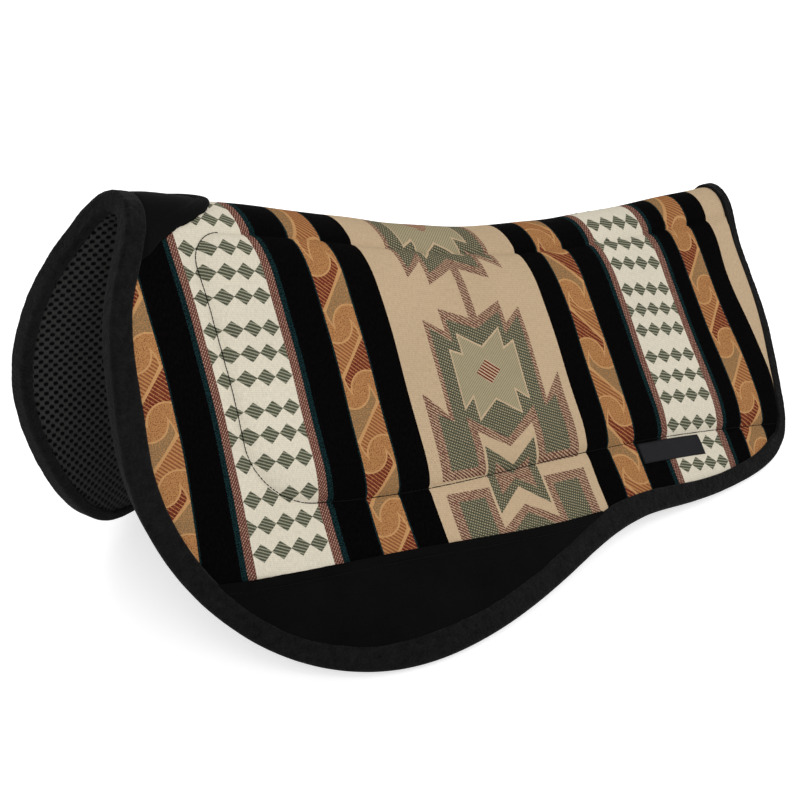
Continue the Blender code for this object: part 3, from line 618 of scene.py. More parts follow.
class Finish:
    """A material made for one of the pad's finishes."""

    def __init__(self, name, roughness, **settings):
        self.material = bpy.data.materials.new(name)
        self.material.use_nodes = True
        self.tree = self.material.node_tree
        self.shader = self.tree.nodes["Principled BSDF"]
        self.shader.inputs["Roughness"].default_value = roughness
        for socket, value in settings.items():
            self.shader.inputs[socket.replace("_", " ")].default_value = value

    def new(self, kind, **settings):
        node = self.tree.nodes.new(kind)
        for setting, value in settings.items():
            setattr(node, setting, value)
        return node

    def place(self):
        """The point on the pattern, and its x and its drop down the near flap."""
        spot = self.new("ShaderNodeAttribute", attribute_name="pattern").outputs["Vector"]
        parts = self.new("ShaderNodeSeparateXYZ")
        self.tree.links.new(spot, parts.inputs[0])
        return spot, Value(self.tree, parts.outputs[0]), Value(self.tree, parts.outputs[1])

    def body(self):
        """The point on the object itself."""
        return self.new("ShaderNodeTexCoord").outputs["Object"]

    def noise(self, where, scale, detail=2.0, roughness=0.5, stretch=None):
        if stretch is not None:
            mapping = self.new("ShaderNodeMapping")
            mapping.inputs["Scale"].default_value = stretch
            self.tree.links.new(where, mapping.inputs["Vector"])
            where = mapping.outputs[0]
        node = self.new("ShaderNodeTexNoise")
        node.inputs["Scale"].default_value = scale
        node.inputs["Detail"].default_value = detail
        node.inputs["Roughness"].default_value = roughness
        self.tree.links.new(where, node.inputs["Vector"])
        return Value(self.tree, node.outputs["Fac"])

    def fed(self, colour, socket):
        """Give an input its colour: a dye, or what another node puts out."""
        if isinstance(colour, bpy.types.NodeSocket):
            self.tree.links.new(colour, socket)
        else:
            socket.default_value = (*colour, 1)[: len(socket.default_value)]

    def layered(self, colour, *layers):
        """Colours laid over a first one in turn, each where its mask is 1."""
        for mask, above in layers:
            node = self.new("ShaderNodeMix", data_type="RGBA")
            self.tree.links.new(mask.socket, node.inputs["Factor"])
            inputs = [socket for socket in node.inputs if socket.type == "RGBA"]
            self.fed(colour, inputs[0])
            self.fed(above, inputs[1])
            colour = [socket for socket in node.outputs if socket.type == "RGBA"][0]
        return colour

    def shaded(self, colour, amount):
        """The colour made lighter or darker by a value near 1."""
        node = self.new("ShaderNodeVectorMath", operation="SCALE")
        self.fed(colour, node.inputs[0])
        self.tree.links.new(amount.socket, node.inputs["Scale"])
        return node.outputs[0]

    def made(self, colour, height, depth, strength):
        """The material, in this colour and with a relief this many metres deep."""
        self.tree.links.new(colour, self.shader.inputs["Base Color"])
        bump = self.new("ShaderNodeBump")
        bump.inputs["Strength"].default_value = strength
        bump.inputs["Distance"].default_value = depth
        self.tree.links.new(height.socket, bump.inputs["Height"])
        self.tree.links.new(bump.outputs[0], self.shader.inputs["Normal"])
        return self.material


def in_bands(x, bands):
    """A mask that is 1 in the stripes of these bands."""
    mask = x.between(*bands[0])
    for band in bands[1:]:
        mask = mask + x.between(*band)
    return mask


def down_weft(x, drop):
    """The place down the weave, which leans with the weft and runs on over the spine."""
    behind = x.most(WEFT_BREAK) - WEFT_CREST
    drift = behind * behind * WEFT_BEND - (x.least(WEFT_BREAK) - WEFT_BREAK) * WEFT_LEAN
    return drop - drift * (drop * (1 / WEFT_TURN)).turned_over()


def diamond_masks(x, drop, down):
    """The rows of small hatched diamonds on the cream bands: their shapes and their hatching."""
    in_front = x < CREAM_PARTING
    front_place, rear_place = ((x - start) * (DIAMONDS_ACROSS / (end - start)) for start, end in CREAM_BANDS)
    place = front_place * in_front + rear_place * in_front.outside()
    low = drop * ((x - DIAMOND_MIDDLE_X) * DIAMOND_LEAN + 1.0)
    low = low - (low - DIAMOND_STRETCH_DROP).most(0.0) * DIAMOND_STRETCH
    row = (low - DIAMOND_ROWS[0]) * in_front + (down - DIAMOND_ROWS[1]) * in_front.outside()
    from_middle = row.folded(DIAMOND_GROUP / 2)
    outer = from_middle > DIAMOND_ROW_GAP / 2
    from_row = abs(from_middle - outer * DIAMOND_ROW_GAP)
    across = abs((place + outer * 0.5).folded(0.5))
    shape = (across * (2 * DIAMOND_FULLNESS) + from_row * (1 / DIAMOND_HALF_HEIGHT)) < 1.0
    return shape, (drop - x * 0.33).striped(0.0031, 0.62)


def medallion_mask(a, u, pieces):
    """A mask of pieces of the medallion, by the distance from its middle line and along it."""
    total = None
    for start, end, top, bottom in pieces:
        mask = a.between(start, end) if start > 0 else a < end
        mask = mask * (u > a * top[1] + top[0])
        if bottom is not None:
            mask = mask * (u < a * bottom[1] + bottom[0])
        total = mask if total is None else total.most(mask)
    return total


def medallion(cloth, dyes, ground, fleck, place, down):
    """The stepped stars of the tan bands, laid over their ground."""
    x, drop = place
    front, rear = MEDALLION_MIDDLES
    a = abs(x - front).least(abs(x - rear))
    u = (down - STEM_MIDDLE).folded(MEDALLION_HALF_PERIOD) - STAR_FROM_STEM
    stem = (a < STEM_HALF) * (u < STEM_END)
    tie = (a < TIE_REACH) * (abs(u - TIE_DROP) < a * TIE_SLOPE + TIE_HALF)
    heart = (a * (1 / HEART_HALVES[0]) + abs(u) * (1 / HEART_HALVES[1])) < 1.0
    rose_hatch = (drop - x * 0.55).striped(0.0031, 0.52)
    rose = cloth.layered(dyes.tan, (rose_hatch, dyes.rose_shadow), (fleck > 0.56, dyes.rose))
    dot = (drop - x * 0.35).striped(0.0031, 0.42) * (x + drop * 0.6).striped(0.0027, 0.56)
    green = cloth.layered(dyes.dark_green, (dot, dyes.pale_green))
    ray = (drop + x * 0.9).striped(0.0026, 0.35)
    star = cloth.layered(dyes.pale_green, (ray, dyes.star_shadow))
    heart_hatch = (drop - x * 0.6).striped(0.0038, 0.55)
    return cloth.layered(
        ground,
        (medallion_mask(a, u, ROSE).most(stem), rose),
        (medallion_mask(a, u, CHEVRON), ground),
        (medallion_mask(a, u, GREEN), green),
        (tie, rose),
        (medallion_mask(a, u, STAR_RIM), ground),
        (medallion_mask(a, u, STAR), star),
        (heart, cloth.layered(dyes.tan, (heart_hatch, dyes.rust))),
    )


def from_point(a, b, middle):
    """Distance from a point of the pattern."""
    a = a - middle[0]
    b = b - middle[1]
    return (a * a + b * b).root()


def in_gold(x):
    """A mask of the gold bands, and how far each place lies from their left and right edges."""
    total = None
    for number, (start, end) in enumerate(GOLD_BANDS):
        inside = x.between(start, end)
        along = x * -1.0 + end if number == MIRRORED_GOLD_BAND else x - start
        left = along * (GOLD_WIDTH / (end - start))
        parts = (inside, inside * left, inside * (left * -1.0 + GOLD_WIDTH))
        total = parts if total is None else [part + more for part, more in zip(total, parts)]
    return total


def hook(left, right, down, middle, grow):
    """Hooks that sweep from the edges of a gold band, each turned half round from the one above."""
    along = (((down - middle) * (1 / SCROLL_PERIOD) + 0.5).fraction() - 0.5) * SCROLL_PERIOD
    after = along > 0.0
    out = left * after.outside() + right * after
    up = abs(along) * -1.0
    bow = from_point(out, up, BOW_MIDDLE)
    next_bow = from_point(out, up, NEXT_BOW_MIDDLE)
    bite = from_point(out, up, BITE_MIDDLE)
    crescent = (bow < BOW_RADIUS + grow) * (bite > BITE_RADIUS - grow)
    return crescent * (bow - next_bow < grow * RIM_PARTING - BOW_PARTING)


def scrolls(cloth, dyes, fleck, place, down, bands):
    """The gold bands' ground, with olive, brown and rust hooks in turn."""
    x, drop = place
    _, left, right = bands
    slant = drop - x * 0.75
    olive = cloth.layered(dyes.olive, (fleck > 0.55, dyes.gold))
    brown = cloth.layered(dyes.gold, (slant.striped(0.0043, 0.46), dyes.brown))
    rust = cloth.layered(dyes.gold, (slant.striped(0.0043, 0.74), dyes.rust), (fleck > 0.62, dyes.brown))
    gold = cloth.layered(dyes.gold, (fleck > 0.60, dyes.brown))
    for third, colour in ((2, olive), (1, brown), (0, rust)):
        middle = SCROLL_MIDDLE + third * SCROLL_PERIOD / 3
        rim = hook(left, right, down, middle, SCROLL_RIM)
        gold = cloth.layered(gold, (rim, dyes.gold_light), (hook(left, right, down, middle, 0.0), colour))
    return gold


def woven_tapestry(dyes):
    """The striped tapestry: velvet bands, twill edges, cream diamonds, tan stars and gold scrolls."""
    cloth = Finish("woven_tapestry", 0.95, Specular_IOR_Level=0.015)
    spot, true_x, true_drop = cloth.place()
    x = true_x + cloth.noise(spot, 1500.0, 1.0).swung(0.0008)
    drop = true_drop + cloth.noise(spot, 1300.0, 0.0).swung(0.0006)
    down = down_weft(x, drop)
    slub = cloth.noise(spot, 700.0, 3.0, 0.6, (1.0, 0.35, 1.0))
    fleck = cloth.noise(spot, 900.0, 0.0)
    grain = slub.swung(0.45) + drop.wave(0.0019) * 0.05 + true_x.wave(0.0016) * 0.03 + 1.0

    black = cloth.shaded(dyes.velvet, (slub.swung(3.0) + 1.0).most(0.2))
    teal = cloth.layered(cloth.shaded(dyes.teal, slub.swung(0.9) + 1.0), (fleck > 0.54, black))
    warp = (x + drop * 0.7).striped(0.0024, 0.54)
    weft = (drop - x * 0.5).striped(0.0030, 0.5) * warp.outside() * (fleck > 0.42)
    twill = cloth.layered(dyes.rose, (warp, dyes.rose_shadow), (weft, dyes.rose_light))
    diamond, hatch = diamond_masks(x, drop, down)
    cream = cloth.shaded(dyes.cream, grain)
    cream = cloth.layered(cream, (diamond, dyes.grey_green), (diamond * hatch, dyes.dark_green))
    tan = medallion(cloth, dyes, cloth.shaded(dyes.tan, grain), fleck, (x, drop), down)
    gold_bands = in_gold(x)
    gold = cloth.shaded(scrolls(cloth, dyes, fleck, (x, drop), down, gold_bands), grain)

    colour = cloth.layered(
        black,
        (in_bands(x, TEAL_BANDS), teal),
        (in_bands(x, [(start - GOLD_EDGE, end + GOLD_EDGE) for start, end in GOLD_BANDS]), teal),
        (in_bands(x, TWILL_BANDS), twill),
        (in_bands(x, CREAM_BANDS), cream),
        (in_bands(x, TAN_BANDS), tan),
        (gold_bands[0], gold),
    )
    colour = cloth.shaded(colour, cloth.noise(spot, 9.0, 2.0).swung(0.16) + 1.0)
    weave = true_x.wave(0.0011) * true_drop.wave(0.0011) * 0.25 + slub
    return cloth.made(colour, weave, 0.0007, 0.55)


def fleece_tape(dyes):
    """Brushed fleece with a short soft pile."""
    tape = Finish("fleece_tape", 0.95, Specular_IOR_Level=0.04, Sheen_Weight=0.05, Sheen_Roughness=0.4)
    tape.shader.inputs["Sheen Tint"].default_value = (0.8, 0.8, 0.8, 1)
    pile = tape.noise(tape.body(), 480.0, 4.0, 0.7)
    tuft = tape.noise(tape.body(), 130.0, 3.0, 0.6)
    amount = pile.swung(2.2) + tuft.swung(1.6) + 1.0
    return tape.made(tape.shaded(dyes.fleece, amount.most(0.1)), pile * 0.6 + tuft * 0.8, 0.0030, 0.9)


def suede_finish(name, colour):
    """Black suede with a fine nap and rubbed, slightly lighter patches."""
    hide = Finish(name, 0.9, Specular_IOR_Level=0.03, Sheen_Weight=0.015, Sheen_Roughness=0.35)
    nap = hide.noise(hide.body(), 900.0, 3.0, 0.6)
    rubbed = hide.noise(hide.body(), 16.0, 4.0, 0.6)
    amount = nap.swung(0.9) + rubbed.swung(1.3) + 1.0
    return hide.made(hide.shaded(colour, amount), nap * 0.6 + rubbed * 0.4, 0.0007, 0.7)


def grip_mesh(dyes):
    """The waffle lining: staggered oval air holes between soft ribs, with painted shade round and in the
    holes and a painted highlight on the ribs.
    """
    grip = Finish("grip_mesh", 0.85, Specular_IOR_Level=0.04)
    spot, x, drop = grip.place()
    column = x * (1 / HOLE_COLUMN)
    odd = (column * 0.5).fraction() > 0.4999
    across = column.fraction().swung(HOLE_COLUMN)
    along = (drop * (1 / HOLE_PITCH) + odd * 0.5).fraction().swung(HOLE_PITCH)
    wide, high = HOLE_HALVES
    away = (across * across * (1 / wide**2) + along * along * (1 / high**2)).root()
    rim = (away - 1.0).least(1.0).most(0.0)
    fibre = grip.noise(spot, 900.0, 3.0)
    # Painted shade and highlight: the colour is darker near each hole and lighter on the rib tops, following
    # the relief.
    colour = grip.shaded(dyes.lining, fibre.swung(1.2) + rim * 0.4 + 0.8)
    # The holes are filled with painted shade, near black.
    return grip.made(grip.layered(colour, (away < 1.0, dyes.hole_shade)), rim * 0.8 + fibre * 0.2, 0.0014, 0.9)


def label_cloth(dyes):
    """A bare woven label: fine satin ribs."""
    label = Finish("label_cloth", 0.6, Specular_IOR_Level=0.12)
    spot, _, drop = label.place()
    rib = drop.wave(0.00075) * 0.5 + 0.5
    thread = label.noise(spot, 1200.0, 2.0)
    amount = rib * 0.25 + thread.swung(0.7) + 0.85
    return label.made(label.shaded(dyes.label, amount), rib + thread * 0.4, 0.0002, 0.6)


def felt_wool(dyes):
    felt = Finish("felt", 0.95, Specular_IOR_Level=0.1, Sheen_Weight=0.1)
    fibre = felt.noise(felt.body(), 350.0, 5.0, 0.7)
    return felt.made(felt.shaded(dyes.felt, fibre.swung(1.0) + 1.0), fibre, 0.0008, 0.7)


def open_foam(dyes):
    foam = Finish("foam", 0.9, Specular_IOR_Level=0.15)
    cell = foam.noise(foam.body(), 800.0, 2.0, 0.6)
    return foam.made(foam.shaded(dyes.foam, cell.swung(0.6) + 1.0), cell, 0.0006, 0.8)


def sewing_thread(dyes):
    """Twisted cotton thread."""
    cotton = Finish("thread", 0.8, Specular_IOR_Level=0.05)
    _, x, drop = cotton.place()
    twist = (x + drop).wave(0.0009) * 0.5 + 0.5
    return cotton.made(cotton.shaded(dyes.thread, twist * 0.5 + 0.75), twist, 0.0002, 0.6)


def rounded_edge(distance, height, reach):
    """A height that rolls down to nothing within this reach of an edge."""
    share = np.clip(distance / reach, 0, 1)
    return height * np.sqrt(1 - (1 - share) ** 2)


def suede_lift(distance, fold, inset, thickness):
    """Height of a suede piece over the cloth, doubled at its folded edge, pressed by the binding."""
    past_fold = np.clip((distance - fold) / SUEDE_DOUBLING_RUN, 0, 1)
    doubled = thickness * SUEDE_DOUBLING * (1 - past_fold**2)
    dent = SUEDE_DENT * bell(distance - fold, SUEDE_DENT_HALF)
    lift = rounded_edge(distance, thickness + doubled, SUEDE_ROLL) - dent + SUEDE_SEAT
    free = np.clip((inset - RING_INSET + SUEDE_FREE_START) / SUEDE_FREE_RUN, 0, 1)
    return np.minimum(lift, SUEDE_PRESSED + SUEDE_FREE * free)


def leather_foot():
    """The line under the binding that a wear leather runs down to."""
    low = edge_line(HIDDEN_INSET)
    first = np.argmax(low[:, 1] > leather_top(low[:, 0]))
    last = np.argmax(low[:, 0] > LEATHER_END)
    return low[first : last + 1]


def leather_grid():
    """Places of a wear leather from its top edge down to the binding, crowded towards the top."""
    low = leather_foot()
    way = ways(low)
    along = np.linspace(0, 1, LEATHER_COLUMNS)
    bottom = read_along(along * way[-1], way, low)
    top_x = low[0, 0] + along**1.25 * (low[-1, 0] - low[0, 0])
    top = np.stack([top_x, leather_top(top_x)], -1)
    top[-1, 1] = low[-1, 1] - 0.012
    down = np.linspace(0, 1, LEATHER_ROWS)[None, :, None] ** 1.9
    places = top[:, None] * (1 - down) + bottom[:, None] * down
    return places[..., 0], places[..., 1]


def patch_back(drop):
    """The x of the wither patch's rear edge at each drop."""
    drops, backs = np.array(PATCH_SHARES).T
    share = natural_spline([*-drops[:0:-1], *drops], [*backs[:0:-1], *backs])
    return FRONT_END + PATCH_REACH - PATCH_SWEEP * share(drop / PATCH_HALF_WIDTH)


def seam_path(sign):
    """Places along the seam round a padded panel, from the tail over the front and back."""
    ring = edge_line(RING_INSET)[::-1]
    rear_x = np.interp(CHANNEL_HALF, ring[:, 1], ring[:, 0])
    top_x = np.arange(rear_x, SEAM_X + SEAM_RADIUS, -SEAM_STEP)
    turn = np.linspace(0, math.pi / 2, 24)[1:]
    low_start = bottom_seam(SEAM_X) - LOW_SEAM_RADIUS
    side_drop = np.arange(CHANNEL_HALF + SEAM_RADIUS, low_start, SEAM_STEP)[1:]
    lower_x = SEAM_X + LOW_SEAM_RADIUS * (1 - np.cos(turn))
    bottom_x = np.arange(SEAM_X + LOW_SEAM_RADIUS, REAR_END, SEAM_STEP)[1:]
    stretches = (
        (top_x, np.full(len(top_x), CHANNEL_HALF)),
        (SEAM_X + SEAM_RADIUS * (1 - np.sin(turn)), CHANNEL_HALF + SEAM_RADIUS * (1 - np.cos(turn))),
        (np.full(len(side_drop), SEAM_X), side_drop),
        (lower_x, bottom_seam(lower_x) - LOW_SEAM_RADIUS * (1 - np.sin(turn))),
        (bottom_x, bottom_seam(bottom_x)),
    )
    path = np.concatenate([np.stack(stretch, -1) for stretch in stretches])
    path = path[edge_inset(*path.T) > RING_INSET - 0.002]
    return path * (1, sign)


def leather_seam(sign):
    """Places along the stitched line of a wear leather's folded edge."""
    x = np.arange(LEATHER_SEAM_START, LEATHER_END, SEAM_STEP)
    drop = leather_top(x) + LEATHER_FOLD
    inside = edge_inset(x, drop) > RING_INSET - 0.001
    return np.stack([x, drop], -1)[inside] * (1, sign)


def stitched(name, path, lift, material):
    """A row of separate stitches along places on the pattern, lower at both ends."""
    radius = sizes().thread_diameter / 2
    stitch = sizes().stitch_length
    gap = stitch * STITCH_GAP
    rings = len(STITCH_RINGS)
    points = laid(*path.T, lift)
    way = ways(points)
    count = int(way[-1] / stitch)
    at = (np.arange(count)[:, None] * stitch + gap / 2) + STITCH_RINGS * (stitch - gap)
    centre = read_along(at, way, points)
    normal = unit(read_along(at, way, back_normal(*path.T)))
    side = np.cross(unit(np.gradient(centre, axis=1)), normal)
    centre = centre + normal * (STITCH_RISE * radius + radius)[:, None]
    turn = np.linspace(0, 2 * math.pi, STITCH_SIDES, endpoint=False)[:, None]
    swell = (STITCH_SWELL * radius)[:, None, None]
    ring = centre[:, :, None] + side[:, :, None] * (np.cos(turn) * swell)
    ring = ring + normal[:, :, None] * (np.sin(turn) * swell)
    number = np.arange(count * rings * STITCH_SIDES).reshape(count, rings, STITCH_SIDES)
    after = np.roll(number, -1, axis=2)
    quads = np.stack([number[:, :-1], number[:, 1:], after[:, 1:], after[:, :-1]], -1)
    first, last = number[:, 0], number[:, -1, ::-1]
    caps = [end[:, corners] for end in (first, last) for corners in ([0, 1, 2, 3], [0, 3, 4, 5])]
    place = np.repeat(read_along(at, way, path).reshape(-1, 2), STITCH_SIDES, axis=0) * (1, -1)
    faces = np.concatenate([quads.reshape(-1, 4), *caps])
    return add_piece(name, ring.reshape(-1, 3), faces, place, material)


def tape_section():
    """The folded tape in section: inset from the edge, and height over the level of the seams."""
    over = BINDING_GAP + sizes().fleece_depth
    under = -STACK_THICKNESS - over
    width, low_width, radius = BINDING_WIDTH, BINDING_UNDER_WIDTH, BINDING_RADIUS
    turn = np.linspace(0, math.pi / 2, 9)
    near, far = radius * (1 - np.sin(turn)), radius * (1 - np.cos(turn))
    rim = [(width + 0.0003, -0.0004), (width, over * 0.5), (width - 0.0012, over * 0.88)]
    rim_low = [(low_width - 0.0012, under + over * 0.12), (low_width, under + over * 0.5)]
    flat = [(inset, over) for inset in np.linspace(width - 0.0030, radius + 0.001, 9)]
    flat_low = [(inset, under) for inset in np.linspace(radius + 0.001, low_width - 0.0030, 4)]
    inner = [(low_width + 0.0003, -STACK_THICKNESS + 0.0004), (0.004, -STACK_THICKNESS), (0.004, 0.0)]
    return [*rim, *flat, *zip(near, over - far), *zip(far, under + near), *flat_low, *rim_low, *inner]


class PadSizes(bpy.types.PropertyGroup):
    stitch_length: FloatProperty(
        name="Stitch length", description="Length of one stitch and its gap",
        default=0.0040, min=0.002, max=0.01, unit="LENGTH",
    )
    thread_diameter: FloatProperty(
        name="Thread", description="Diameter of the sewing thread",
        default=0.0009, min=0.0004, max=0.002, unit="LENGTH",
    )
    fleece_depth: FloatProperty(
        name="Fleece depth", description="Thickness of the binding tape with its pile",
        default=0.0026, min=0.001, max=0.005, unit="LENGTH",
    )
    cloth_step: FloatProperty(
        name="Cloth step", description="Distance between the points of the tapestry's mesh",
        default=0.0022, min=0.001, max=0.01, unit="LENGTH",
    )
    binding_runs: IntProperty(
        name="Binding runs", description="Sections along the binding on each flap",
        default=640, min=100, max=1200,
    )


def dye(name, description, *shown):
    return FloatVectorProperty(
        name=name, description=description, default=dyed(*shown), size=3, min=0, max=1, subtype="COLOR"
    )


class PadDyes(bpy.types.PropertyGroup):
    velvet: dye("Velvet", "The black pile bands", 6, 5, 5)
    teal: dye("Teal", "The dark teal stripes", 20, 44, 46)
    cream: dye("Cream", "The ground of the diamond bands", 216, 208, 189)
    tan: dye("Tan", "The ground of the star bands", 191, 167, 136)
    gold: dye("Gold", "The ground of the scroll bands", 172, 124, 78)
    gold_light: dye("Light gold", "The lines between the scrolls", 188, 142, 94)
    rust: dye("Rust", "The hooked scrolls", 104, 40, 32)
    olive: dye("Olive", "The leaves of the scrolls", 128, 104, 74)
    brown: dye("Brown", "The hatching of the gold bands", 134, 78, 50)
    rose: dye("Rose", "The light thread of the twill", 124, 84, 72)
    rose_light: dye("Pale rose", "The flecks of the twill", 176, 146, 126)
    rose_shadow: dye("Dark rose", "The dark thread of the twill", 86, 48, 42)
    dark_green: dye("Dark green", "The stars and the diamonds", 74, 76, 62)
    grey_green: dye("Grey green", "The ground of the diamonds", 146, 145, 124)
    pale_green: dye("Pale green", "The dots of the stars", 168, 155, 124)
    star_shadow: dye("Star shade", "The hatching of the pale stars", 132, 124, 100)
    fleece: dye("Fleece", "The binding tape", 20, 20, 20)
    suede: dye("Suede", "The wear leathers", 10, 9, 9)
    wither: dye("Wither suede", "The patch at the withers", 12, 12, 12)
    lining: dye("Lining", "The grip mesh", 58, 58, 57)
    # Painted shade: the near-black colour painted into the air holes of the lining.
    hole_shade: dye("Air holes", "The inside of the holes", 2, 2, 2)
    label: dye("Label", "The bare woven label", 15, 15, 19)
    felt: dye("Felt", "The core", 124, 122, 118)
    foam: dye("Foam", "The filling of the panels", 224, 214, 190)
    thread: dye("Thread", "The sewing thread", 14, 13, 13)


def sizes():
    return bpy.context.scene.pad_sizes


def dyes():
    return bpy.context.scene.pad_dyes


class PAD_OT_filling(bpy.types.Operator):
    """Lay the felt core and the foam that fills the two quilted panels"""

    bl_idname = "pad.filling"
    bl_label = "Felt and foam"

    def execute(self, context):
        x, drop, inset, keep = cloth_grid(CORE_STEP, CORE_INSET)
        pressed = GROOVE_DEPTH * 0.6
        points = laid(x, drop, -(COVER_THICKNESS + LAYER_GAP + FILLING_GAP) - pressed)
        slab = grid_piece("felt_slab", x, drop, points, felt_wool(dyes()), keep)
        thickened(slab, CORE_THICKNESS - pressed - 2 * FILLING_GAP)
        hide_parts("felt_core")
        foam = open_foam(dyes())
        for side, sign in SIDES:
            self.fill_panel(side, sign, foam)
        return {"FINISHED"}

    def fill_panel(self, side, sign, foam):
        x = np.arange(SEAM_X, PANEL_GRID_X, FOAM_STEP)
        drop = np.arange(CHANNEL_HALF, PANEL_GRID_DROP, FOAM_STEP)
        x, drop = np.meshgrid(x, drop, indexing="ij")
        inside = np.minimum(in_panel(x, drop), edge_inset(x, drop) - RING_INSET - 0.002)
        used, faces = grid_faces(*x.shape, whole_cells(inside > FOAM_INSET))
        top = (cover_lift(x, drop) - COVER_THICKNESS - 2 * FILLING_GAP).ravel()[used]
        places = np.stack([x.ravel(), drop.ravel() * sign], -1)[used]
        points = np.concatenate([laid(*places.T, top), laid(*places.T, -COVER_THICKNESS)])
        count = len(used)
        sides = np.concatenate([faces[:, [k, (k + 1) % 4]] for k in range(4)]).tolist()
        reverse = {(b, a) for a, b in sides}
        rim = np.array([(a, b) for a, b in sides if (a, b) not in reverse])
        walls = np.stack([rim[:, 1], rim[:, 0], rim[:, 0] + count, rim[:, 1] + count], -1)
        faces = np.concatenate([faces, faces[:, ::-1] + count, walls])
        if sign < 0:
            faces = faces[:, ::-1]
        spots = np.concatenate([places, places]) * (1, -1)
        piece = add_piece(f"foam_fill_{side}", points, faces, spots, foam)
        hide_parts(f"foam_insert_{side}")


class PAD_OT_cover(bpy.types.Operator):
    """Lay the woven tapestry over the padding and draw it down at the seams"""

    bl_idname = "pad.cover"
    bl_label = "Tapestry cover"

    def execute(self, context):
        x, drop, inset, keep = cloth_grid(sizes().cloth_step, HIDDEN_INSET)
        points = laid(x, drop, cover_lift(x, drop, inset))
        cover = grid_piece("tapestry_cover", x, drop, points, woven_tapestry(dyes()), keep)
        thickened(cover, COVER_THICKNESS * 0.6)
        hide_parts("top_cover")
        return {"FINISHED"}


class PAD_OT_lining(bpy.types.Operator):
    """Lay the waffle grip lining under the felt"""

    bl_idname = "pad.lining"
    bl_label = "Grip lining"

    def execute(self, context):
        x, drop, inset, keep = cloth_grid(LINING_STEP, HIDDEN_INSET)
        lift = -STACK_THICKNESS + 0.0004 * ripple(x, drop, 0.06, 3.1)
        lining = grid_piece("waffle_lining", x, drop, laid(x, drop, lift), grip_mesh(dyes()), keep)
        thickened(lining, LINING_THICKNESS * 0.5, 1.0)
        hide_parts("grip_lining")
        return {"FINISHED"}


class PAD_OT_binding(bpy.types.Operator):
    """Fold the fleece tape over the whole edge"""

    bl_idname = "pad.binding"
    bl_label = "Fleece binding"

    def execute(self, context):
        stations = np.linspace(0, OUTLINE_SAMPLES - 1, sizes().binding_runs)
        rings = []
        for inset, height in tape_section():
            half = read_along(stations, np.arange(OUTLINE_SAMPLES), edge_line(inset))
            loop = np.concatenate([half, half[-2:0:-1] * (1, -1)])
            way = np.linspace(0, 1, len(loop), endpoint=False) * 2 * math.pi
            soft = np.sin(way * 61 + 2 * np.sin(way * 9)) + np.sin(way * 103 + 3 * np.sin(way * 17))
            tuft = np.sin(way * 511 + inset * 900) * np.sin(way * 387 - inset * 1300)
            pile = (PILE_WAVE * soft + PILE_TUFT * tuft) * (1 if height > -0.003 else 0.4)
            rings.append(np.column_stack([loop, height + pile]))
        places = np.stack(rings, 1)
        points = laid(*np.moveaxis(places, -1, 0))
        points[..., 2] = np.maximum(points[..., 2], 0.0)
        number = np.arange(points[..., 0].size).reshape(points.shape[:2])
        after = np.roll(number, -1, axis=0)
        quads = np.stack([number, after, np.roll(after, -1, axis=1), np.roll(number, -1, axis=1)], -1)
        place = places[..., :2].reshape(-1, 2) * (1, -1)
        fleece = fleece_tape(dyes())
        tape = add_piece("fleece_binding", points.reshape(-1, 3), quads.reshape(-1, 4), place, fleece)
        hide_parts("edge_binding")
        return {"FINISHED"}


class PAD_OT_leathers(bpy.types.Operator):
    """Sew the suede wear leathers to the front lobes"""

    bl_idname = "pad.leathers"
    bl_label = "Wear leathers"

    def execute(self, context):
        hide = suede_finish("suede", dyes().suede)
        x, drop = leather_grid()
        top_x = np.linspace(LEATHER_TOP_START, LEATHER_END, 500)
        distance, _ = nearest_on(np.stack([top_x, leather_top(top_x)], -1), x, drop)
        pressed = suede_lift(distance, LEATHER_FOLD, edge_inset(x, drop), SUEDE_THICKNESS)
        lift = cover_lift(x, drop) + pressed + 0.0003 * ripple(x, drop, 0.07, 4.2)
        for side, sign in SIDES:
            points = laid(x, drop * sign, lift)
            leather = grid_piece(f"suede_leather_{side}", x, drop * sign, points, hide)
            if sign < 0:
                leather.data.flip_normals()
            thickened(leather, SUEDE_THICKNESS * 0.6)
            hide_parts(f"wear_leather_{side}")
        return {"FINISHED"}


class PAD_OT_wither_patch(bpy.types.Operator):
    """Sew the suede tongue over the spine at the withers"""

    bl_idname = "pad.wither_patch"
    bl_label = "Wither patch"

    def execute(self, context):
        ahead = edge_line(HIDDEN_INSET)[: OUTLINE_SAMPLES // 4]
        widest = ahead[np.argmax(patch_back(ahead[:, 1]) < ahead[:, 0]), 1]
        drop = np.linspace(-widest, widest, 91)
        front = np.interp(np.abs(drop), ahead[:, 1], ahead[:, 0])
        rear = np.maximum(patch_back(drop), front + 0.0002)
        share = 1 - (1 - np.linspace(0, 1, 46)[:, None]) ** 1.7
        x = front + share * (rear - front)
        drop = np.broadcast_to(drop, x.shape)
        edge_drop = np.linspace(-PATCH_EDGE_DROP, PATCH_EDGE_DROP, 400)
        distance, _ = nearest_on(np.stack([patch_back(edge_drop), edge_drop], -1), x, drop)
        inset = edge_inset(x, drop)
        lift = cover_lift(x, drop, inset) + suede_lift(distance, PATCH_FOLD, inset, PATCH_THICKNESS)
        hide = suede_finish("wither_suede", dyes().wither)
        patch = grid_piece("suede_patch", x, drop, laid(x, drop, lift), hide)
        thickened(patch, SUEDE_THICKNESS * 0.6)
        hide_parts("wither_patch")
        return {"FINISHED"}


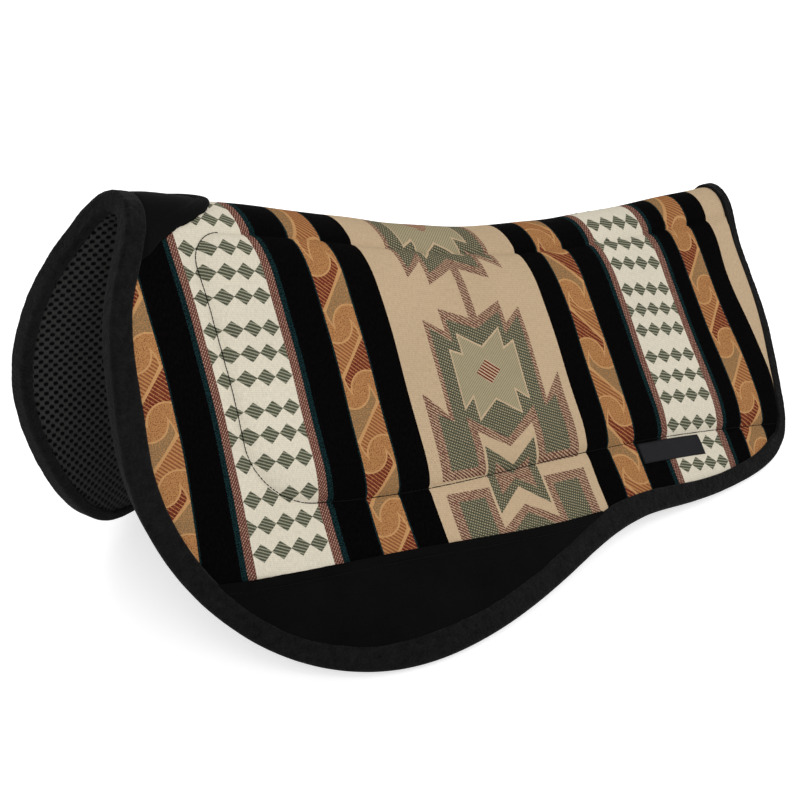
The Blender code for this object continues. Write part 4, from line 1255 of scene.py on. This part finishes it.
class PAD_OT_label(bpy.types.Operator):
    """Sew the bare woven label under the near panel"""

    bl_idname = "pad.label"
    bl_label = "Bare label"

    def execute(self, context):
        along, down = np.linspace(0, LABEL_LENGTH, 71), np.linspace(0, LABEL_HEIGHT, 25)
        along, down = np.meshgrid(along, down, indexing="ij")
        x = LABEL_START + along
        drop = bottom_seam(x) + LABEL_GAP + down
        inner = np.minimum(np.minimum(along, LABEL_LENGTH - along), np.minimum(down, LABEL_HEIGHT - down))
        lift = cover_lift(x, drop) + LABEL_THICKNESS + rounded_edge(inner, 0.0010, 0.0016)
        lift += 0.0004 * ripple(x, drop, 0.045, 0.7)
        label = grid_piece("woven_label", x, -drop, laid(x, -drop, lift), label_cloth(dyes()))
        label.data.flip_normals()
        thickened(label, LABEL_THICKNESS)
        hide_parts("label")
        return {"FINISHED"}


class PAD_OT_stitching(bpy.types.Operator):
    """Sew the quilting round the panels and the lines along the wear leathers"""

    bl_idname = "pad.stitching"
    bl_label = "Stitching"

    def execute(self, context):
        cotton = sewing_thread(dyes())
        for side, sign in SIDES:
            path = seam_path(sign)
            quilting = stitched(f"quilting_{side}", path, cover_lift(*path.T), cotton)
            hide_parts(f"quilting_thread_{side}")
            line = leather_seam(sign)
            lift = cover_lift(*line.T) + SUEDE_THICKNESS + THREAD_LIFT
            sewing = stitched(f"leather_stitching_{side}", line, lift, cotton)
            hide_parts(f"leather_thread_{side}")
        return {"FINISHED"}


class PAD_OT_stage(bpy.types.Operator):
    """Set the pale floor, the studio light and the camera"""

    bl_idname = "pad.stage"
    bl_label = "Stage"

    def execute(self, context):
        self.lay_floor()
        self.light_studio()
        self.set_camera()
        return {"FINISHED"}

    def lay_floor(self):
        mesh = bpy.data.meshes.new("studio_floor")
        corners = [(x * FLOOR_HALF, y * FLOOR_HALF, 0) for x, y in ((-1, -1), (1, -1), (1, 1), (-1, 1))]
        mesh.from_pydata(corners, [], [(0, 1, 2, 3)])
        floor = bpy.data.objects.new("studio_floor", mesh)
        floor.location.z = -FLOOR_DROP
        bpy.context.scene.collection.objects.link(floor)
        paper = bpy.data.materials.new("studio_paper")
        paper.use_nodes = True
        tree = paper.node_tree
        tree.nodes.clear()
        diffuse = tree.nodes.new("ShaderNodeBsdfDiffuse")
        diffuse.inputs["Color"].default_value = (FLOOR_GREY, FLOOR_GREY, FLOOR_GREY, 1)
        glow = tree.nodes.new("ShaderNodeEmission")
        glow.inputs["Strength"].default_value = FLOOR_GLOW
        both = tree.nodes.new("ShaderNodeAddShader")
        mix = tree.nodes.new("ShaderNodeMixShader")
        out = tree.nodes.new("ShaderNodeOutputMaterial")
        for source, target in (
            (diffuse.outputs[0], both.inputs[0]),
            (glow.outputs[0], both.inputs[1]),
            (white_rays(tree), mix.inputs[0]),
            (diffuse.outputs[0], mix.inputs[1]),
            (both.outputs[0], mix.inputs[2]),
            (mix.outputs[0], out.inputs[0]),
        ):
            tree.links.new(source, target)
        mesh.materials.append(paper)

    def light_studio(self):
        world = bpy.data.worlds.new("studio")
        world.use_nodes = True
        bpy.context.scene.world = world
        tree = world.node_tree
        background = tree.nodes["Background"]
        background.inputs["Color"].default_value = (1, 1, 1, 1)
        level = tree.nodes.new("ShaderNodeMapRange")
        level.inputs["To Min"].default_value = ROOM_LIGHT
        level.inputs["To Max"].default_value = 1.0
        tree.links.new(white_rays(tree), level.inputs["Value"])
        tree.links.new(level.outputs[0], background.inputs["Strength"])
        for lamp in LAMPS:
            add_lamp(*lamp)

    def set_camera(self):
        data = bpy.data.cameras.new("photo_camera")
        data.sensor_width = SENSOR_WIDTH
        data.lens = CAMERA_REACH * SENSOR_WIDTH
        data.clip_start = 0.05
        camera = bpy.data.objects.new("photo_camera", data)
        bpy.context.scene.collection.objects.link(camera)
        axes = (
            Matrix.Rotation(math.radians(CAMERA_AZIMUTH), 4, "Z")
            @ Matrix.Rotation(math.radians(90 - CAMERA_ELEVATION), 4, "X")
            @ Matrix.Rotation(math.radians(CAMERA_ROLL), 4, "Z")
        )
        place = stood(np.array(CAMERA_PLACE))
        camera.matrix_world = Matrix.Translation(place) @ Matrix.Rotation(STAND_PITCH, 4, "Y") @ axes
        bpy.context.scene.camera = camera
        bpy.context.scene.view_settings.view_transform = "Standard"


def white_rays(tree):
    """A socket that is 1 for the rays that should meet a white background."""
    path = tree.nodes.new("ShaderNodeLightPath")
    first = Value(tree, path.outputs["Is Camera Ray"])
    for name in ("Is Glossy Ray", "Is Transmission Ray"):
        first = first.most(Value(tree, path.outputs[name]))
    return first.socket


def add_lamp(name, place, size, power):
    """A square lamp that shines on the pad."""
    data = bpy.data.lights.new(name, "AREA")
    data.energy = power
    data.size = size
    lamp = bpy.data.objects.new(name, data)
    turn = (Vector(place) - Vector(LAMP_TARGET)).to_track_quat("Z", "Y")
    lamp.matrix_world = Matrix.Translation(place) @ turn.to_matrix().to_4x4()
    bpy.context.scene.collection.objects.link(lamp)


PIECES = (
    PAD_OT_filling,
    PAD_OT_cover,
    PAD_OT_lining,
    PAD_OT_binding,
    PAD_OT_leathers,
    PAD_OT_wither_patch,
    PAD_OT_label,
    PAD_OT_stitching,
    PAD_OT_stage,
)


class PAD_PT_panel(bpy.types.Panel):
    """Sizes, dyes and pieces of the saddle pad"""

    bl_label = "Saddle pad"
    bl_idname = "PAD_PT_panel"
    bl_space_type = "VIEW_3D"
    bl_region_type = "UI"
    bl_category = "Saddle pad"

    def draw(self, context):
        layout = self.layout
        for group in (context.scene.pad_sizes, context.scene.pad_dyes):
            box = layout.box()
            for name in group.__annotations__:
                box.prop(group, name)
        for piece in PIECES:
            layout.operator(piece.bl_idname)


CLASSES = (PadSizes, PadDyes, *PIECES, PAD_PT_panel)


def register():
    for kind in CLASSES:
        bpy.utils.register_class(kind)
    bpy.types.Scene.pad_sizes = PointerProperty(type=PadSizes)
    bpy.types.Scene.pad_dyes = PointerProperty(type=PadDyes)


def unregister():
    del bpy.types.Scene.pad_dyes
    del bpy.types.Scene.pad_sizes
    for kind in reversed(CLASSES):
        bpy.utils.unregister_class(kind)


def main():
    register()
    bpy.ops.pad.filling()
    bpy.ops.pad.cover()
    bpy.ops.pad.lining()
    bpy.ops.pad.binding()
    bpy.ops.pad.leathers()
    bpy.ops.pad.wither_patch()
    bpy.ops.pad.label()
    bpy.ops.pad.stitching()
    bpy.ops.pad.stage()


if __name__ == "__main__":
    main()
